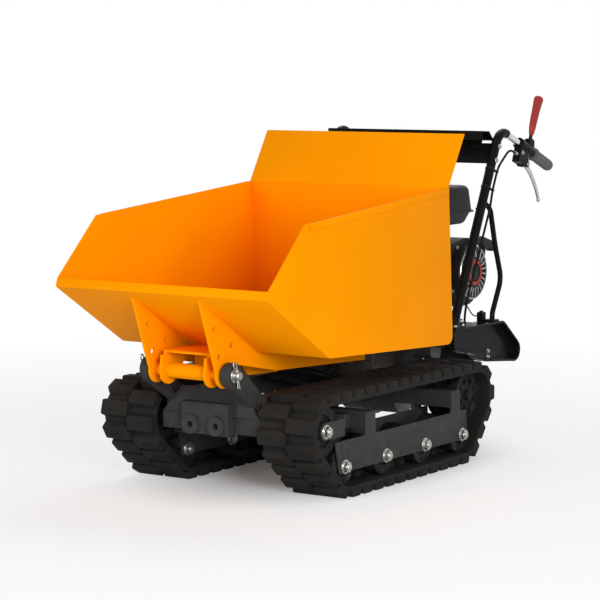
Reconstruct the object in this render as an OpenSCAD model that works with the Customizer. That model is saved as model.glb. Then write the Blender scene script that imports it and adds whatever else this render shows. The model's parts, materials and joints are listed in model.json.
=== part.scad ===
// Tracked power carrier: a walk-behind mini dumper with rubber tracks, a hydraulic tipping skip
// and a single-cylinder petrol engine. Millimetres, ground at z = 0, front towards -Y, and +X is
// the left side of the machine.

/* [Tracks] */
// Distance between the centre lines of the two belts
track_gauge = 532; // [520:1:560]
// Width of each rubber belt
belt_w = 180; // [170:1:190]
// Thickness of the belt carcass
belt_t = 12; // [9:1:14]
// Height of the tread lugs
lug_h = 20; // [14:1:24]
// Length of belt from one lug to the next
lug_pitch = 60; // [56:1:62]
// Height of the drive lugs inside the belt
drive_lug_h = 18; // [12:1:20]
// Width of the drive lugs across the belt
drive_lug_w = 40; // [30:1:50]
// Drive lug pockets round the sprocket
sprocket_teeth = 8; // [8:1:8]
// Where the sprocket axis lies along the machine
sprocket_y = 268; // [260:1:276]
// Distance between the sprocket and idler axes
wheel_base = 805; // [780:1:830]
// Height of the sprocket and idler axes
axle_h = 195; // [190:1:205]
// Radius of the bottom rollers
roller_r = 54; // [48:1:56]
// Least gap between the last roller and the sprocket
roller_gap = 1.5; // [1:0.5:6]
// Least gap between the first roller and the idler
idler_gap = 21; // [10:1:26]
// Radius of the roller and idler axle bolts
axle_r = 10; // [8:0.5:12]
// Radius of the two drive shafts
shaft_r = 16; // [14:0.5:18]

/* [Track frames] */
// Thickness of the roller plates
plate_t = 6; // [5:0.5:8]
// Distance between the outer faces of a pair of roller plates
plate_span = 138; // [130:1:146]
// Height of the lower edge of the roller plates
plate_low = 70; // [60:1:76]
// Height of the upper edge of the roller plates
plate_top = 158; // [150:1:164]
// Slant of the plate ends
plate_slant = 20; // [0:1:30]
// Height of the flat bars that carry the idler
idler_bar_h = 48; // [40:1:52]

/* [Chassis] */
// Side of the square cross beams
beam = 50; // [44:1:54]
// Height of the upper face of the cross beams
beam_top = 222; // [221:1:228]
// Where the front cross beam lies
beam_front_y = -308; // [-320:1:-290]
// Where the rear cross beam lies
beam_rear_y = 168; // [155:1:175]
// Width of each main rail
rail_w = 50; // [40:1:52]
// Height of each main rail
rail_h = 54; // [48:1:58]
// Distance of the main rails' centre lines from the middle
rail_x = 130; // [128:1:134]
// Front end of the main rails
rail_front_y = -592; // [-600:1:-580]
// Rear end of the main rails
rail_rear_y = 600; // [590:1:610]
// Half width of the front box
box_half_w = 77; // [60:1:90]
// Height of the front box
box_h = 83; // [70:1:90]
// Depth of the front box
box_d = 30; // [20:1:40]

/* [Skip hinge and ram] */
// Hinge axis of the skip along the machine
hinge_y = -694; // [-700:1:-688]
// Hinge axis of the skip above the ground
hinge_z = 351; // [346:1:356]
// Radius of the hinge pin
pin_r = 12; // [10:0.5:14]
// Radius of the round hinge lugs
lug_r = 37; // [32:1:40]
// Half distance between the outer hinge plates' inner faces
gusset_x = 107; // [102:1:110]
// Thickness of the hinge plates
gusset_t = 8; // [6:0.5:10]
// Half distance between the inner hinge plates' inner faces
inner_lug_x = 69; // [60:1:76]
// Outer radius of the hinge tube
hinge_tube_r = 21; // [18:0.5:24]
// Ram foot pivot along the machine
ram_foot_y = 100; // [90:1:108]
// Ram foot pivot above the ground
ram_foot_z = 215; // [205:1:225]
// Ram head pivot along the machine
ram_head_y = -390; // [-400:1:-380]
// Ram head pivot above the ground
ram_head_z = 340; // [335:1:344]
// Outer radius of the ram barrel
barrel_r = 28; // [24:1:32]
// Radius of the ram rod
rod_r = 15; // [12:0.5:18]

/* [Skip] */
// Width over the side walls
skip_w = 698; // [680:1:716]
// Thickness of the sheet
sheet = 4; // [3:0.5:5]
// Front lip, top edge along the machine
lip_y = -829; // [-840:1:-815]
// Front lip, top edge above the ground
lip_z = 599; // [590:1:610]
// Height of the hem on the front lip
lip_h = 25; // [18:1:30]
// Front top corner of the side walls along the machine
side_front_y = -660; // [-680:1:-640]
// Front top corner of the side walls above the ground
side_front_z = 760; // [740:1:780]
// Rear top corner of the side walls along the machine
side_rear_y = 95; // [85:1:105]
// Rear top corner of the side walls above the ground
side_rear_z = 822; // [800:1:840]
// Bend between slope and floor along the machine
bend_y = -541; // [-550:1:-530]
// Bend between slope and floor above the ground
bend_z = 395; // [390:1:400]
// Rear end of the floor along the machine
floor_rear_y = 124; // [116:1:132]
// Rear end of the floor above the ground
floor_rear_z = 365; // [360:1:370]
// Top of the raised back wall along the machine
back_top_y = 188; // [170:1:200]
// Top of the raised back wall above the ground
back_top_z = 973; // [950:1:990]
// Height of the folded hem along the side walls
hem_h = 19; // [14:1:24]
// How far the hem stands out from the wall
hem_out = 6; // [4:0.5:8]

/* [Rear guards and engine] */
// Outer edge of each rear guard
guard_x = 318; // [312:1:324]
// Depth of the guard's rim
guard_rim = 28; // [20:1:34]
// Thickness of the guard's sheet
guard_t = 4; // [3:0.5:5]
// Width of the guard's flat top
guard_top_w = 62; // [56:1:70]
// Height of the guard's flat top
guard_top_z = 396; // [392:1:400]
// Height of the upper face of the outriggers
outrigger_top = 372; // [366:1:376]
// Side of the square outriggers
outrigger = 32; // [26:1:36]
// Height of the engine's base
engine_base = 427; // [422:1:432]
// Crankshaft axis along the machine
crank_y = 550; // [545:1:556]
// Crankshaft axis above the engine's base
crank_h = 106; // [104:1:110]
// Radius of the recoil cover
recoil_r = 84; // [76:1:88]
// Outer face of the recoil cover
recoil_x = 185; // [180:1:190]

/* [Handles] */
// Distance of the handle tubes from the middle
handle_x = 290; // [286:1:296]
// Radius of the handle tubes
tube_r = 14; // [12:0.5:16]
// Foot of the handle tubes along the machine
foot_y = 229; // [224:1:234]
// Backward lean of the handle tubes
lean = 25.5; // [24:0.5:27]
// Length of the straight stretch of the handle tubes
tube_len = 592; // [580:1:600]
// Centre line radius of the bend
bend_r = 50; // [44:1:60]
// Downward slope of the handlebars
drop = 21; // [18:0.5:24]
// Length of the handlebars behind the bend
bar_len = 299; // [290:1:310]
// Radius of the handlebars
bar_r = 11; // [10:0.5:12]
// Length of the rubber grips
grip_len = 112; // [100:1:120]
// Radius of the rubber grips
grip_r = 18; // [16:0.5:19]

/* [Hidden] */
$fn = 64;

// Gap between faces that turn or slide on each other
run_gap = 0.05;
// Gap between pieces of different bodies that only pass each other
air_gap = 0.4;

orange = [0.96, 0.56, 0.03];
dark = [0.20, 0.20, 0.21];
black = [0.09, 0.09, 0.10];
rubber = [0.16, 0.15, 0.15];
zinc = [0.72, 0.72, 0.70];

// Outlines

// Outward direction of the straight tangent from circle a to circle b, going anticlockwise
function tangent_dir(a, b) =
    let (d = [b[0] - a[0], b[1] - a[1]], u = d / norm(d), c = (a[2] - b[2]) / norm(d), s = sqrt(1 - c * c))
    [c * u[0] + s * u[1], c * u[1] - s * u[0]];

// The point of circle c that faces direction t, with the circle grown by off
function rim_point(c, t, off) = [c[0] + (c[2] + off) * t[0], c[1] + (c[2] + off) * t[1]];

// The outline stretched round circles [u, v, radius], listed anticlockwise
module round_outline(circles, off = 0) {
    n = len(circles);
    polygon([
        for (i = [0 : n - 1], far = [false, true])
            let (a = circles[i], b = circles[(i + 1) % n])
            rim_point(far ? b : a, tangent_dir(a, b), off)
    ]);
    for (c = circles)
        translate([c[0], c[1]]) circle(r = c[2] + off);
}

// The same outline as points, with its arcs in fine steps, for the walls of belts and covers
arc_step = 5;
function outline_points(circles, off) =
    let (n = len(circles))
    [for (i = [0 : n - 1])
        let (
            c = circles[i],
            t = tangent_dir(circles[(i + n - 1) % n], c), u = tangent_dir(c, circles[(i + 1) % n]),
            start = atan2(t[1], t[0]), sweep = (atan2(u[1], u[0]) - start + 720) % 360,
            steps = ceil(sweep / arc_step)
        )
        for (k = [0 : steps])
            let (a = start + sweep * k / steps)
            [c[0] + (c[2] + off) * cos(a), c[1] + (c[2] + off) * sin(a)]];

// A wall that follows the outline between two offsets
module outline_wall(circles, low, high) {
    difference() {
        polygon(outline_points(circles, high));
        polygon(outline_points(circles, low));
    }
}

// A profile in the machine's side view, pushed out along +X
module side_plate(x, width) {
    translate([x, 0, 0]) rotate([90, 0, 90]) linear_extrude(width) children();
}

// A profile in the machine's front view, pushed out along +Y
module front_plate(y, depth) {
    translate([0, y + depth, 0]) rotate([90, 0, 0]) linear_extrude(depth) children();
}

// A round bar from p to q
module bar(p, q, r) {
    d = q - p;
    translate(p) rotate([0, acos(d.z / norm(d)), atan2(d.y, d.x)]) cylinder(r = r, h = norm(d));
}

function unit(v) = v / norm(v);

// A line through points with its corners eased over a length of up to reach
function eased(points, reach, steps) = concat(
    [points[0]],
    [for (i = [1 : len(points) - 2])
        let (
            q = points[i], before = points[i - 1] - q, after = points[i + 1] - q,
            d = min(reach, 0.48 * norm(before), 0.48 * norm(after))
        )
        for (k = [0 : steps])
            let (t = k / steps)
            q + d * (unit(before) * (1 - t) * (1 - t) + unit(after) * t * t)],
    [points[len(points) - 1]]
);

// Direction of a line of points at point i
function heading(line, i) = unit(line[min(i + 1, len(line) - 1)] - line[max(i - 1, 0)]);

// Faces of a tube drawn as rings of n points
function tube_faces(rings, n) =
    let (last = (rings - 1) * n)
    concat(
        [for (k = [0 : rings - 2], j = [0 : n - 1], half = [0, 1])
            let (a = k * n + j, b = k * n + (j + 1) % n)
            half == 0 ? [a, a + n, b] : [b, a + n, b + n]],
        [for (j = [1 : n - 2]) [0, j, j + 1]],
        [for (j = [1 : n - 2]) [last, last + j + 1, last + j]]
    );

// A bent rod or hose along points; across is a direction that the line never takes
module bent_bar(points, r, across = [1, 0, 0], sides = 12, reach = 30, steps = 5) {
    line = eased(points, reach, steps);
    rings = [for (i = [0 : len(line) - 1])
        let (t = heading(line, i), u = unit(across - (across * t) * t), v = cross(t, u))
        for (j = [0 : sides - 1])
            let (a = j * 360 / sides)
            line[i] + r * (cos(a) * u + sin(a) * v)];
    polyhedron(rings, tube_faces(len(line), sides));
}

// A cylinder along +X, given by its axis in the side view
module axle(x, length, y, z, r) {
    translate([x, y, z]) rotate([0, 90, 0]) cylinder(r = r, h = length);
}

// Both sides of the machine
module both_sides() {
    children();
    mirror([1, 0, 0]) children();
}

module box(low, high) {
    translate(low) cube(high - low);
}

// A square tube between two corners, open along the axis that ends names: [1, 0, 0] for X, [0, 1, 0] for Y
module box_tube(low, high, ends) {
    wall = tube_wall * ([1, 1, 1] - ends) - ends;
    difference() {
        box(low, high);
        box(low + wall, high - wall);
    }
}

// Tracks

wheel_r = sprocket_teeth * lug_pitch / (2 * PI) - belt_t / 2;
idler_y = sprocket_y - wheel_base;
roller_z = lug_h + belt_t + roller_r;
// Distance along the machine between a roller's axis and that of the wheel whose rim lies a gap away from it
roller_least = 40;
function roller_set(gap) =
    sqrt(max(pow(roller_least, 2), pow(wheel_r + roller_r + gap, 2) - pow(axle_h - roller_z, 2)));
roller_pitch = (wheel_base - roller_set(roller_gap) - roller_set(idler_gap)) / 3;
roller_y = [for (i = [0 : 3]) idler_y + roller_set(idler_gap) + i * roller_pitch];
belt_in = track_gauge / 2 - belt_w / 2;
belt_mid = track_gauge / 2;
track_circles = [
    [roller_y[0], roller_z, roller_r], [roller_y[3], roller_z, roller_r],
    [sprocket_y, axle_h, wheel_r], [idler_y, axle_h, wheel_r]
];

// The belt's neutral line is followed as four straight runs, each with the arc after it
neutral = belt_t / 2;
function turn_angle(i) =
    let (t = tangent_dir(track_circles[i % 4], track_circles[(i + 1) % 4])) atan2(t[1], t[0]);
function run_len(i) =
    let (a = track_circles[i % 4], b = track_circles[(i + 1) % 4])
    sqrt(pow(a[0] - b[0], 2) + pow(a[1] - b[1], 2) - pow(a[2] - b[2], 2));
function arc_sweep(i) = (turn_angle(i + 1) - turn_angle(i) + 720) % 360;
function arc_r(i) = track_circles[(i + 1) % 4][2] + neutral;
function arc_len(i) = arc_r(i) * arc_sweep(i) * PI / 180;
function path_len(i = 0) = i > 3 ? 0 : run_len(i) + arc_len(i) + path_len(i + 1);

// Place on the neutral line at length s: [y, z, direction of the outward normal]
function path_at(s, i = 0) =
    let (a = track_circles[i % 4], b = track_circles[(i + 1) % 4], n = turn_angle(i))
    s <= run_len(i) ?
        [a[0] + (a[2] + neutral) * cos(n) - s * sin(n), a[1] + (a[2] + neutral) * sin(n) + s * cos(n), n] :
    s <= run_len(i) + arc_len(i) ?
        let (m = n + (s - run_len(i)) / arc_r(i) * 180 / PI)
        [b[0] + arc_r(i) * cos(m), b[1] + arc_r(i) * sin(m), m] :
    path_at(s - run_len(i) - arc_len(i), i + 1);

belt_len = path_len();
lug_count = round(belt_len / lug_pitch);
// Length from the start of the path to the rearmost point of the sprocket, where one lug sits
sprocket_s = run_len(0) + arc_len(0) + run_len(1) - turn_angle(1) * PI / 180 * arc_r(1);
lug_base = 44;
lug_tip = 36;
drive_lug_base = 24;
drive_lug_tip = 16;
lug_root = 2;

// Puts a profile at lug number i, with its first axis along the outward normal
module at_lug(i) {
    s = sprocket_s + i * belt_len / lug_count;
    p = path_at(s - floor(s / belt_len) * belt_len);
    translate([p[0], p[1]]) rotate(p[2]) children();
}

module tread_lug() {
    polygon([
        [neutral - lug_root, -lug_base / 2], [neutral + lug_h, -lug_tip / 2],
        [neutral + lug_h, lug_tip / 2], [neutral - lug_root, lug_base / 2]
    ]);
}

module drive_lug(grow = 0) {
    polygon([
        [-neutral + lug_root, -drive_lug_base / 2 - grow], [-neutral + lug_root, drive_lug_base / 2 + grow],
        [-neutral - drive_lug_h - grow, drive_lug_tip / 2 + grow],
        [-neutral - drive_lug_h - grow, -drive_lug_tip / 2 - grow]
    ]);
}

// One row of tread lugs, shifted by a share of the pitch
module lug_row(x, width, shift) {
    side_plate(x, width)
        for (i = [0 : lug_count - 1])
            at_lug(i + shift) tread_lug();
}

module track_belt() {
    color(rubber) {
        side_plate(belt_in, belt_w) outline_wall(track_circles, 0, belt_t);
        lug_row(belt_in, belt_w / 2, 0.5);
        lug_row(belt_mid, belt_w / 2, 0);
        side_plate(belt_mid - drive_lug_w / 2, drive_lug_w)
            for (i = [0 : lug_count - 1])
                at_lug(i) drive_lug();
    }
}

// Width of the wheels between the roller plates
plate_gap = 3;
wheel_w = plate_span - 2 * plate_t - 2 * plate_gap;
groove_w = drive_lug_w + 8;
hub_r = 26;

// A wheel that runs on the belt at both sides of the drive lugs
module grooved_wheel(y, z, r, bore) {
    groove_r = r - drive_lug_h - 3;
    difference() {
        union() {
            axle(belt_mid - wheel_w / 2, wheel_w, y, z, groove_r);
            for (side = [-1, 1]) {
                rim_w = (wheel_w - groove_w) / 2;
                axle(belt_mid + side * (groove_w + rim_w) / 2 - rim_w / 2, rim_w, y, z, r);
            }
        }
        axle(belt_mid - wheel_w, 2 * wheel_w, y, z, bore);
        // Dished faces round the hub
        for (side = [-1, 1])
            axle(belt_mid + side * wheel_w / 2 - 8, 16, y, z, groove_r - 4);
    }
    difference() {
        axle(belt_mid - wheel_w / 2, wheel_w, y, z, min(hub_r, groove_r - 8));
        axle(belt_mid - wheel_w, 2 * wheel_w, y, z, bore);
    }
}

module roller(i) {
    color(dark) grooved_wheel(roller_y[i], roller_z, roller_r - air_gap, axle_r + run_gap);
}

module idler() {
    color(dark) grooved_wheel(idler_y, axle_h, wheel_r - air_gap, axle_r + run_gap);
}

// Inner end of the drive shaft, inside the gearbox
shaft_in = 40;
tooth_gap = 5;
sprocket_rim_w = 26;
light_hole_r = 9;
light_hole_at = 0.62 * wheel_r;
tooth_angle = 360 / sprocket_teeth;

module sprocket() {
    color(dark) {
        side_plate(belt_mid - groove_w / 2, groove_w)
            difference() {
                translate([sprocket_y, axle_h]) circle(r = wheel_r - air_gap);
                for (k = [0 : sprocket_teeth - 1])
                    translate([sprocket_y, axle_h]) rotate(k * tooth_angle)
                        translate([wheel_r + neutral, 0]) drive_lug(tooth_gap);
            }
        for (side = [-1, 1])
            difference() {
                axle(belt_mid + side * (groove_w + sprocket_rim_w) / 2 - sprocket_rim_w / 2, sprocket_rim_w,
                    sprocket_y, axle_h, wheel_r - air_gap);
                for (k = [0 : sprocket_teeth - 1])
                    let (a = (k + 0.5) * tooth_angle)
                    axle(belt_mid - belt_w, 2 * belt_w, sprocket_y + light_hole_at * cos(a),
                        axle_h + light_hole_at * sin(a), light_hole_r);
            }
        axle(shaft_in, belt_mid + wheel_w / 2 - shaft_in, sprocket_y, axle_h, shaft_r);
    }
}

// Track frames

plate_out = belt_mid + plate_span / 2;
plate_in = belt_mid - plate_span / 2;
plate_front = roller_y[0] - 46;
plate_rear = sprocket_y - 38;
post_w = 26;

module roller_plate(x) {
    difference() {
        side_plate(x, plate_t)
            polygon([
                [plate_front, plate_top], [plate_front + plate_slant, plate_low],
                [plate_rear + 12, plate_low], [plate_rear, plate_top]
            ]);
        for (y = roller_y)
            axle(x - 1, plate_t + 2, y, roller_z, axle_r + run_gap);
    }
    // Upright ends of the plate that hold the cross beams
    for (y = [beam_front_y, beam_rear_y])
        box([x, y - post_w, plate_top - 1], [x + plate_t, y + post_w, beam_top]);
}

// The idler's tension screw ends in a block between the front uprights, behind its lock nut
fork_rear = idler_y + wheel_r + 26;
fork_block = 20;
nut_h = 14;
nut_gap = 2;
block_len = 34;
block_front = max(beam_front_y - beam / 2 - block_len, fork_rear + nut_gap + nut_h);
screw_r = 9;

module track_frame() {
    color(dark) {
        difference() {
            union() {
                roller_plate(plate_in);
                roller_plate(plate_out - plate_t);
            }
            for (y = [beam_front_y, beam_rear_y])
                box([0, y - beam / 2, beam_top - beam], [plate_out - plate_t, y + beam / 2, beam_top + 1]);
        }
        // Guide block for the tension screw, on the front of the cross beam
        difference() {
            box([belt_mid - 20, block_front, axle_h - 20],
                [belt_mid + 20, beam_front_y - beam / 2, axle_h + 20]);
            translate([belt_mid, block_front - 1, axle_h]) rotate([-90, 0, 0])
                cylinder(r = screw_r + run_gap, h = 20);
        }
    }
}

module idler_forks() {
    color(dark) both_sides() {
        difference() {
            union() {
                for (x = [plate_in, plate_out - plate_t])
                    side_plate(x, plate_t)
                        round_outline([
                            [idler_y, axle_h, idler_bar_h / 2],
                            [fork_rear - 3, axle_h - idler_bar_h / 2 + 3, 3],
                            [fork_rear - 3, axle_h + idler_bar_h / 2 - 3, 3]
                        ]);
            }
            axle(0, 2 * plate_out, idler_y, axle_h, axle_r + run_gap);
        }
        box([plate_in + plate_t, fork_rear - fork_block, axle_h - 18],
            [plate_out - plate_t, fork_rear, axle_h + 18]);
        // Tension screw with its lock nut
        translate([belt_mid, fork_rear, axle_h]) rotate([-90, 0, 0])
            cylinder(r = screw_r, h = block_front + 18 - fork_rear);
        translate([belt_mid, block_front - nut_h, axle_h]) rotate([-90, 0, 0])
            cylinder(r = 17, h = nut_h, $fn = 6);
    }
}

washer_t = 3;
head_h = 9;
// A bolt through a pair of plates, with washer, head and nut
module through_bolt(y, z) {
    axle(plate_in - 10, plate_out + 4 - plate_in + 10, y, z, axle_r);
    axle(plate_out, washer_t, y, z, 2 * axle_r);
    axle(plate_in - washer_t, washer_t, y, z, 2 * axle_r);
    for (x = [plate_out + washer_t, plate_in - washer_t - head_h])
        translate([x, y, z]) rotate([0, 90, 0]) cylinder(r = 1.6 * axle_r, h = head_h, $fn = 6);
}

module axle_bolts() {
    color(zinc) both_sides() {
        for (y = roller_y)
            through_bolt(y, roller_z);
        through_bolt(idler_y, axle_h);
    }
}

// Chassis

rail_top = beam_top + rail_h;
rail_in = rail_x - rail_w / 2;
rail_out = rail_x + rail_w / 2;
arm_x = gusset_x + gusset_t + 7;
arm_w = 25;
cross_plate_t = 8;
tube_wall = 5;
cross_plate_z = 295;
cross_plate_top_x = 101;
cross_plate_low_x = 164;
panel_in = guard_x - guard_rim - guard_t;
outrigger_y = [215, 570];
outrigger_half = [panel_in, rail_out];
bracket_y = [424, 456];
post = 40;
clevis_gap = 1.5;
clevis_in = barrel_r + clevis_gap;
clevis_t = 8;
clevis_r = 22;
ram_pin_r = 12;
shelf_in = 182;
shelf_y = [199, 330];
shelf_t = 5;

// Height of the floor's under side at y
floor_tilt = (floor_rear_z - bend_z) / (floor_rear_y - bend_y);
function floor_z(y) = bend_z + (y - bend_y) * floor_tilt;
stiffener_d = 56;
pad_y = [-34, 8];
pad_gap = 0.3;

module chassis_frame() {
    color(dark) {
        for (y = [beam_front_y, beam_rear_y])
            box_tube([-(plate_out - plate_t), y - beam / 2, beam_top - beam],
                [plate_out - plate_t, y + beam / 2, beam_top], [1, 0, 0]);
        both_sides() {
            box_tube([rail_in, rail_front_y, beam_top], [rail_out, rail_rear_y, rail_top], [0, 1, 0]);
            // Arms up to the hinge pin
            difference() {
                side_plate(arm_x, arm_w)
                    round_outline([
                        [rail_front_y + 40, beam_top + 8, 6], [rail_front_y + 40, rail_top - 8, 6],
                        [hinge_y, hinge_z, lug_r - 3]
                    ]);
                axle(arm_x - 1, arm_w + 2, hinge_y, hinge_z, pin_r + run_gap);
            }
            // Rest pads under the skip
            side_plate(gusset_x - 2, gusset_t + 30)
                polygon([
                    [pad_y[0], rail_top], [pad_y[1], rail_top],
                    [pad_y[1], floor_z(pad_y[1]) - stiffener_d - pad_gap],
                    [pad_y[0], floor_z(pad_y[0]) - stiffener_d - pad_gap]
                ]);
            for (y = outrigger_y)
                box([rail_x - post / 2, y - post / 2, rail_top],
                    [rail_x + post / 2, y + post / 2, outrigger_top - outrigger]);
            // Brackets to the rear of the guards
            box([rail_in, bracket_y[0], rail_top], [panel_in, bracket_y[1], rail_top + outrigger]);
            // Clevis of the ram foot
            side_plate(clevis_in, clevis_t)
                round_outline([
                    [beam_rear_y - beam / 2, beam_top - beam + 12, 4],
                    [beam_rear_y - beam / 2, beam_top - 6, 4],
                    [ram_foot_y, ram_foot_z, clevis_r]
                ]);
        }
        // Front cross plate and the tube behind it
        front_plate(rail_front_y - cross_plate_t, cross_plate_t)
            polygon([
                [-cross_plate_low_x, beam_top - 2], [cross_plate_low_x, beam_top - 2],
                [cross_plate_top_x, cross_plate_z], [-cross_plate_top_x, cross_plate_z]
            ]);
        box_tube([-belt_in + 6, rail_front_y, beam_top - beam],
            [belt_in - 6, rail_front_y + beam, beam_top], [1, 0, 0]);
        for (i = [0, 1])
            box_tube([-outrigger_half[i], outrigger_y[i] - outrigger / 2, outrigger_top - outrigger],
                [outrigger_half[i], outrigger_y[i] + outrigger / 2, outrigger_top], [1, 0, 0]);
        axle(-clevis_in - clevis_t, 2 * (clevis_in + clevis_t), ram_foot_y, ram_foot_z, ram_pin_r);
        // Shelf under the oil tank
        box([-panel_in, shelf_y[0], outrigger_top], [-shelf_in, shelf_y[1], outrigger_top + shelf_t]);
    }
}

boss_x = 43;
boss_r = 27;
boss_h = 12;
boss_hole_r = 9;
boss_up = 27;
flange_over = 4;

module front_box() {
    rear = rail_front_y - cross_plate_t;
    front = rear - box_d;
    top = beam_top + 31;
    wall = 5;
    color(dark) difference() {
        union() {
            box([-box_half_w, front, top - box_h], [box_half_w, rear, top]);
            // Lid that stands over the front and the sides
            box([-box_half_w - flange_over, front - flange_over, top],
                [box_half_w + flange_over, rear, top + wall]);
            for (side = [-1, 1])
                translate([side * boss_x, front - boss_h, top - box_h + boss_up]) rotate([-90, 0, 0])
                    cylinder(r = boss_r, h = boss_h + 1);
        }
        box([-box_half_w + wall, front + wall, top - box_h - 1],
            [box_half_w - wall, rear - wall, top - wall]);
        for (side = [-1, 1])
            translate([side * boss_x, front - boss_h - 1, top - box_h + boss_up]) rotate([-90, 0, 0])
                cylinder(r = boss_hole_r, h = boss_h + wall + 2);
    }
}

// Rear guards

guard_front_y = 186;
guard_top_end = 484;
guard_circles = [
    [guard_front_y + 6, guard_top_z - 50, 6], [384, 290, 8], [566, 298, 34],
    [guard_top_end, guard_top_z - 30, 30], [guard_front_y + 6, guard_top_z - 6, 6]
];
guard_arch_r = wheel_r + belt_t + lug_h + 22;

// Outline of a guard in the side view, with the belt's rear end cut out
module guard_outline(off) {
    difference() {
        round_outline(guard_circles, off);
        translate([sprocket_y, axle_h]) circle(r = guard_arch_r - off);
        translate([0, axle_h]) square([sprocket_y, guard_arch_r - off]);
    }
}

module rear_guards() {
    color(black) both_sides() {
        side_plate(panel_in, guard_t) guard_outline(0);
        side_plate(panel_in + guard_t, guard_rim)
            difference() {
                guard_outline(0);
                guard_outline(-guard_t);
            }
        // Flat top, which carries the foot of the handle tube
        box([guard_x - guard_top_w, guard_front_y + 6, guard_top_z - guard_t],
            [panel_in, guard_top_end, guard_top_z]);
    }
}

// Drive line

input_y = 340;
input_z = 325;
input_r = 46;
drive_x = -150;
pulley_w = 22;
groove_d = 9;
belt_drive_w = 10;
belt_drive_t = 9;
crank_z = engine_base + crank_h;
crank_pulley_r = 36;
stub_r = 10;
gearbox_w = 2 * rail_in;
axle_tube_r = 24;
case_wall = 8;
case_r = 62;
case_gap = 4;
case_circles = [
    [beam_rear_y + beam / 2 + case_gap + case_wall + case_r, axle_h - 12, case_r],
    [sprocket_y + 60, axle_h - 8, 54], [input_y, input_z, 40], [input_y - 44, input_z - 4, 34]
];

module gearbox() {
    color(dark) {
        difference() {
            union() {
                side_plate(-gearbox_w / 2 + case_wall, gearbox_w - 2 * case_wall) round_outline(case_circles);
                // Bolting flange round the middle and pads on the rails
                side_plate(-6, 12) round_outline(case_circles, case_wall);
                for (y = [sprocket_y - 50, sprocket_y + 60])
                    box([-gearbox_w / 2, y, beam_top + 6], [gearbox_w / 2, y + 44, rail_top - 6]);
                axle(-belt_in - 14, 2 * belt_in + 28, sprocket_y, axle_h, axle_tube_r);
                axle(-gearbox_w / 2, 20, input_y, input_z, 24);
            }
            for (side = [0, 1])
                mirror([side, 0, 0])
                    axle(shaft_in - 1, belt_in, sprocket_y, axle_h, shaft_r + run_gap);
            axle(-gearbox_w / 2 - 1, 60, input_y, input_z, stub_r + run_gap);
        }
    }
}

// A grooved pulley on a stub shaft that runs towards +X
module pulley(y, z, r, shaft_to) {
    rim = (pulley_w - belt_drive_w - 1) / 2;
    axle(drive_x - pulley_w / 2, pulley_w, y, z, r - groove_d);
    for (x = [drive_x - pulley_w / 2, drive_x + pulley_w / 2 - rim])
        axle(x, rim, y, z, r);
    axle(drive_x - pulley_w / 2 - 6, shaft_to - drive_x + pulley_w / 2 + 6, y, z, stub_r);
}

pulley_circles = [[input_y, input_z, input_r - groove_d], [crank_y, crank_z, crank_pulley_r - groove_d]];

module gearbox_pulley() {
    color(zinc) pulley(input_y, input_z, input_r, -gearbox_w / 2 + 40);
}

module engine_pulley() {
    color(zinc) pulley(crank_y, crank_z, crank_pulley_r, -50);
}

module drive_belt() {
    color(black) side_plate(drive_x - belt_drive_w / 2, belt_drive_w)
        difference() {
            round_outline(pulley_circles, air_gap + belt_drive_t);
            round_outline(pulley_circles, air_gap);
        }
}

guard_wall = 3;
belt_guard_low = outrigger_top + 8;
cover_circles = [[input_y, input_z, input_r + 8], [crank_y, crank_z, crank_pulley_r + 14]];

module belt_guard() {
    color(black) {
        difference() {
            side_plate(drive_x - 26, 48) polygon(outline_points(cover_circles, guard_wall));
            side_plate(drive_x - 26 + guard_wall, 60) polygon(outline_points(cover_circles, 0));
            box([-400, 0, 0], [0, 900, belt_guard_low]);
        }
        // Tab to the crankcase
        box([drive_x + 16, 500, engine_base + 12], [block_x[0], 545, engine_base + 32]);
    }
}

// Engine

block_x = [-90, 95];
slope = 25;
rails_x = [58, 108];

module engine_rails() {
    color(dark) both_sides() {
        difference() {
            box([rails_x[0], outrigger_y[0] - 16, outrigger_top],
                [rails_x[1], outrigger_y[1] + 40, engine_base]);
            box([rails_x[0] + 5, outrigger_y[0] - 17, outrigger_top + 5],
                [rails_x[1] + 1, outrigger_y[1] + 41, engine_base - 5]);
        }
    }
}

fin_count = 7;
fin_t = 4;
fin_step = 12;

module engine_block() {
    color([0.35, 0.35, 0.36]) {
        difference() {
            union() {
                side_plate(block_x[0], block_x[1] - block_x[0])
                    round_outline([
                        [crank_y - 62, engine_base + 10, 10], [crank_y + 72, engine_base + 10, 10],
                        [crank_y + 40, crank_z + 12, 48], [crank_y - 40, crank_z + 14, 40]
                    ]);
                // Cylinder, sloping forwards, with its cooling fins and valve cover
                translate([0, crank_y, crank_z]) rotate([-slope, 0, 0]) {
                    box([-40, -196, -38], [50, -40, 42]);
                    for (i = [0 : fin_count - 1])
                        box([-58, -170 + i * fin_step, -54], [68, -170 + i * fin_step + fin_t, 58]);
                    box([-48, -212, -42], [58, -182, 46]);
                }
                // Stays under the fuel tank
                for (x = [-62, 70])
                    box([x, crank_y - 40, crank_z + 20], [x + 24, crank_y - 12, tank_low]);
            }
            axle(block_x[0] - 1, 60, crank_y, crank_z, stub_r + run_gap);
        }
    }
}

fan_r = 106;
recoil_back = 150;

module fan_housing() {
    color(black) side_plate(block_x[1], recoil_back - block_x[1])
        round_outline([[crank_y, crank_z, fan_r], [crank_y - 110, crank_z + 46, 44]]);
}

vent_count = 24;
vent_w = 5;
vent_in = 46;
vent_out = 72;
vent_d = 15;
cord_r = 2.5;
cord_hole_r = 4;
cord_len = 125;
// The cord leaves upwards and a little to the rear; the handle's middle is the start of the pull
pull_lean = 16;
pull_at = [recoil_back + 14, 640, 618];
nose_r = 9;
nose_low = -92;
nose_top = -22;

// Puts a shape on the starter cord, with +Z along the pull
module on_cord() {
    translate(pull_at) rotate([-pull_lean, 0, 0]) children();
}

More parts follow.
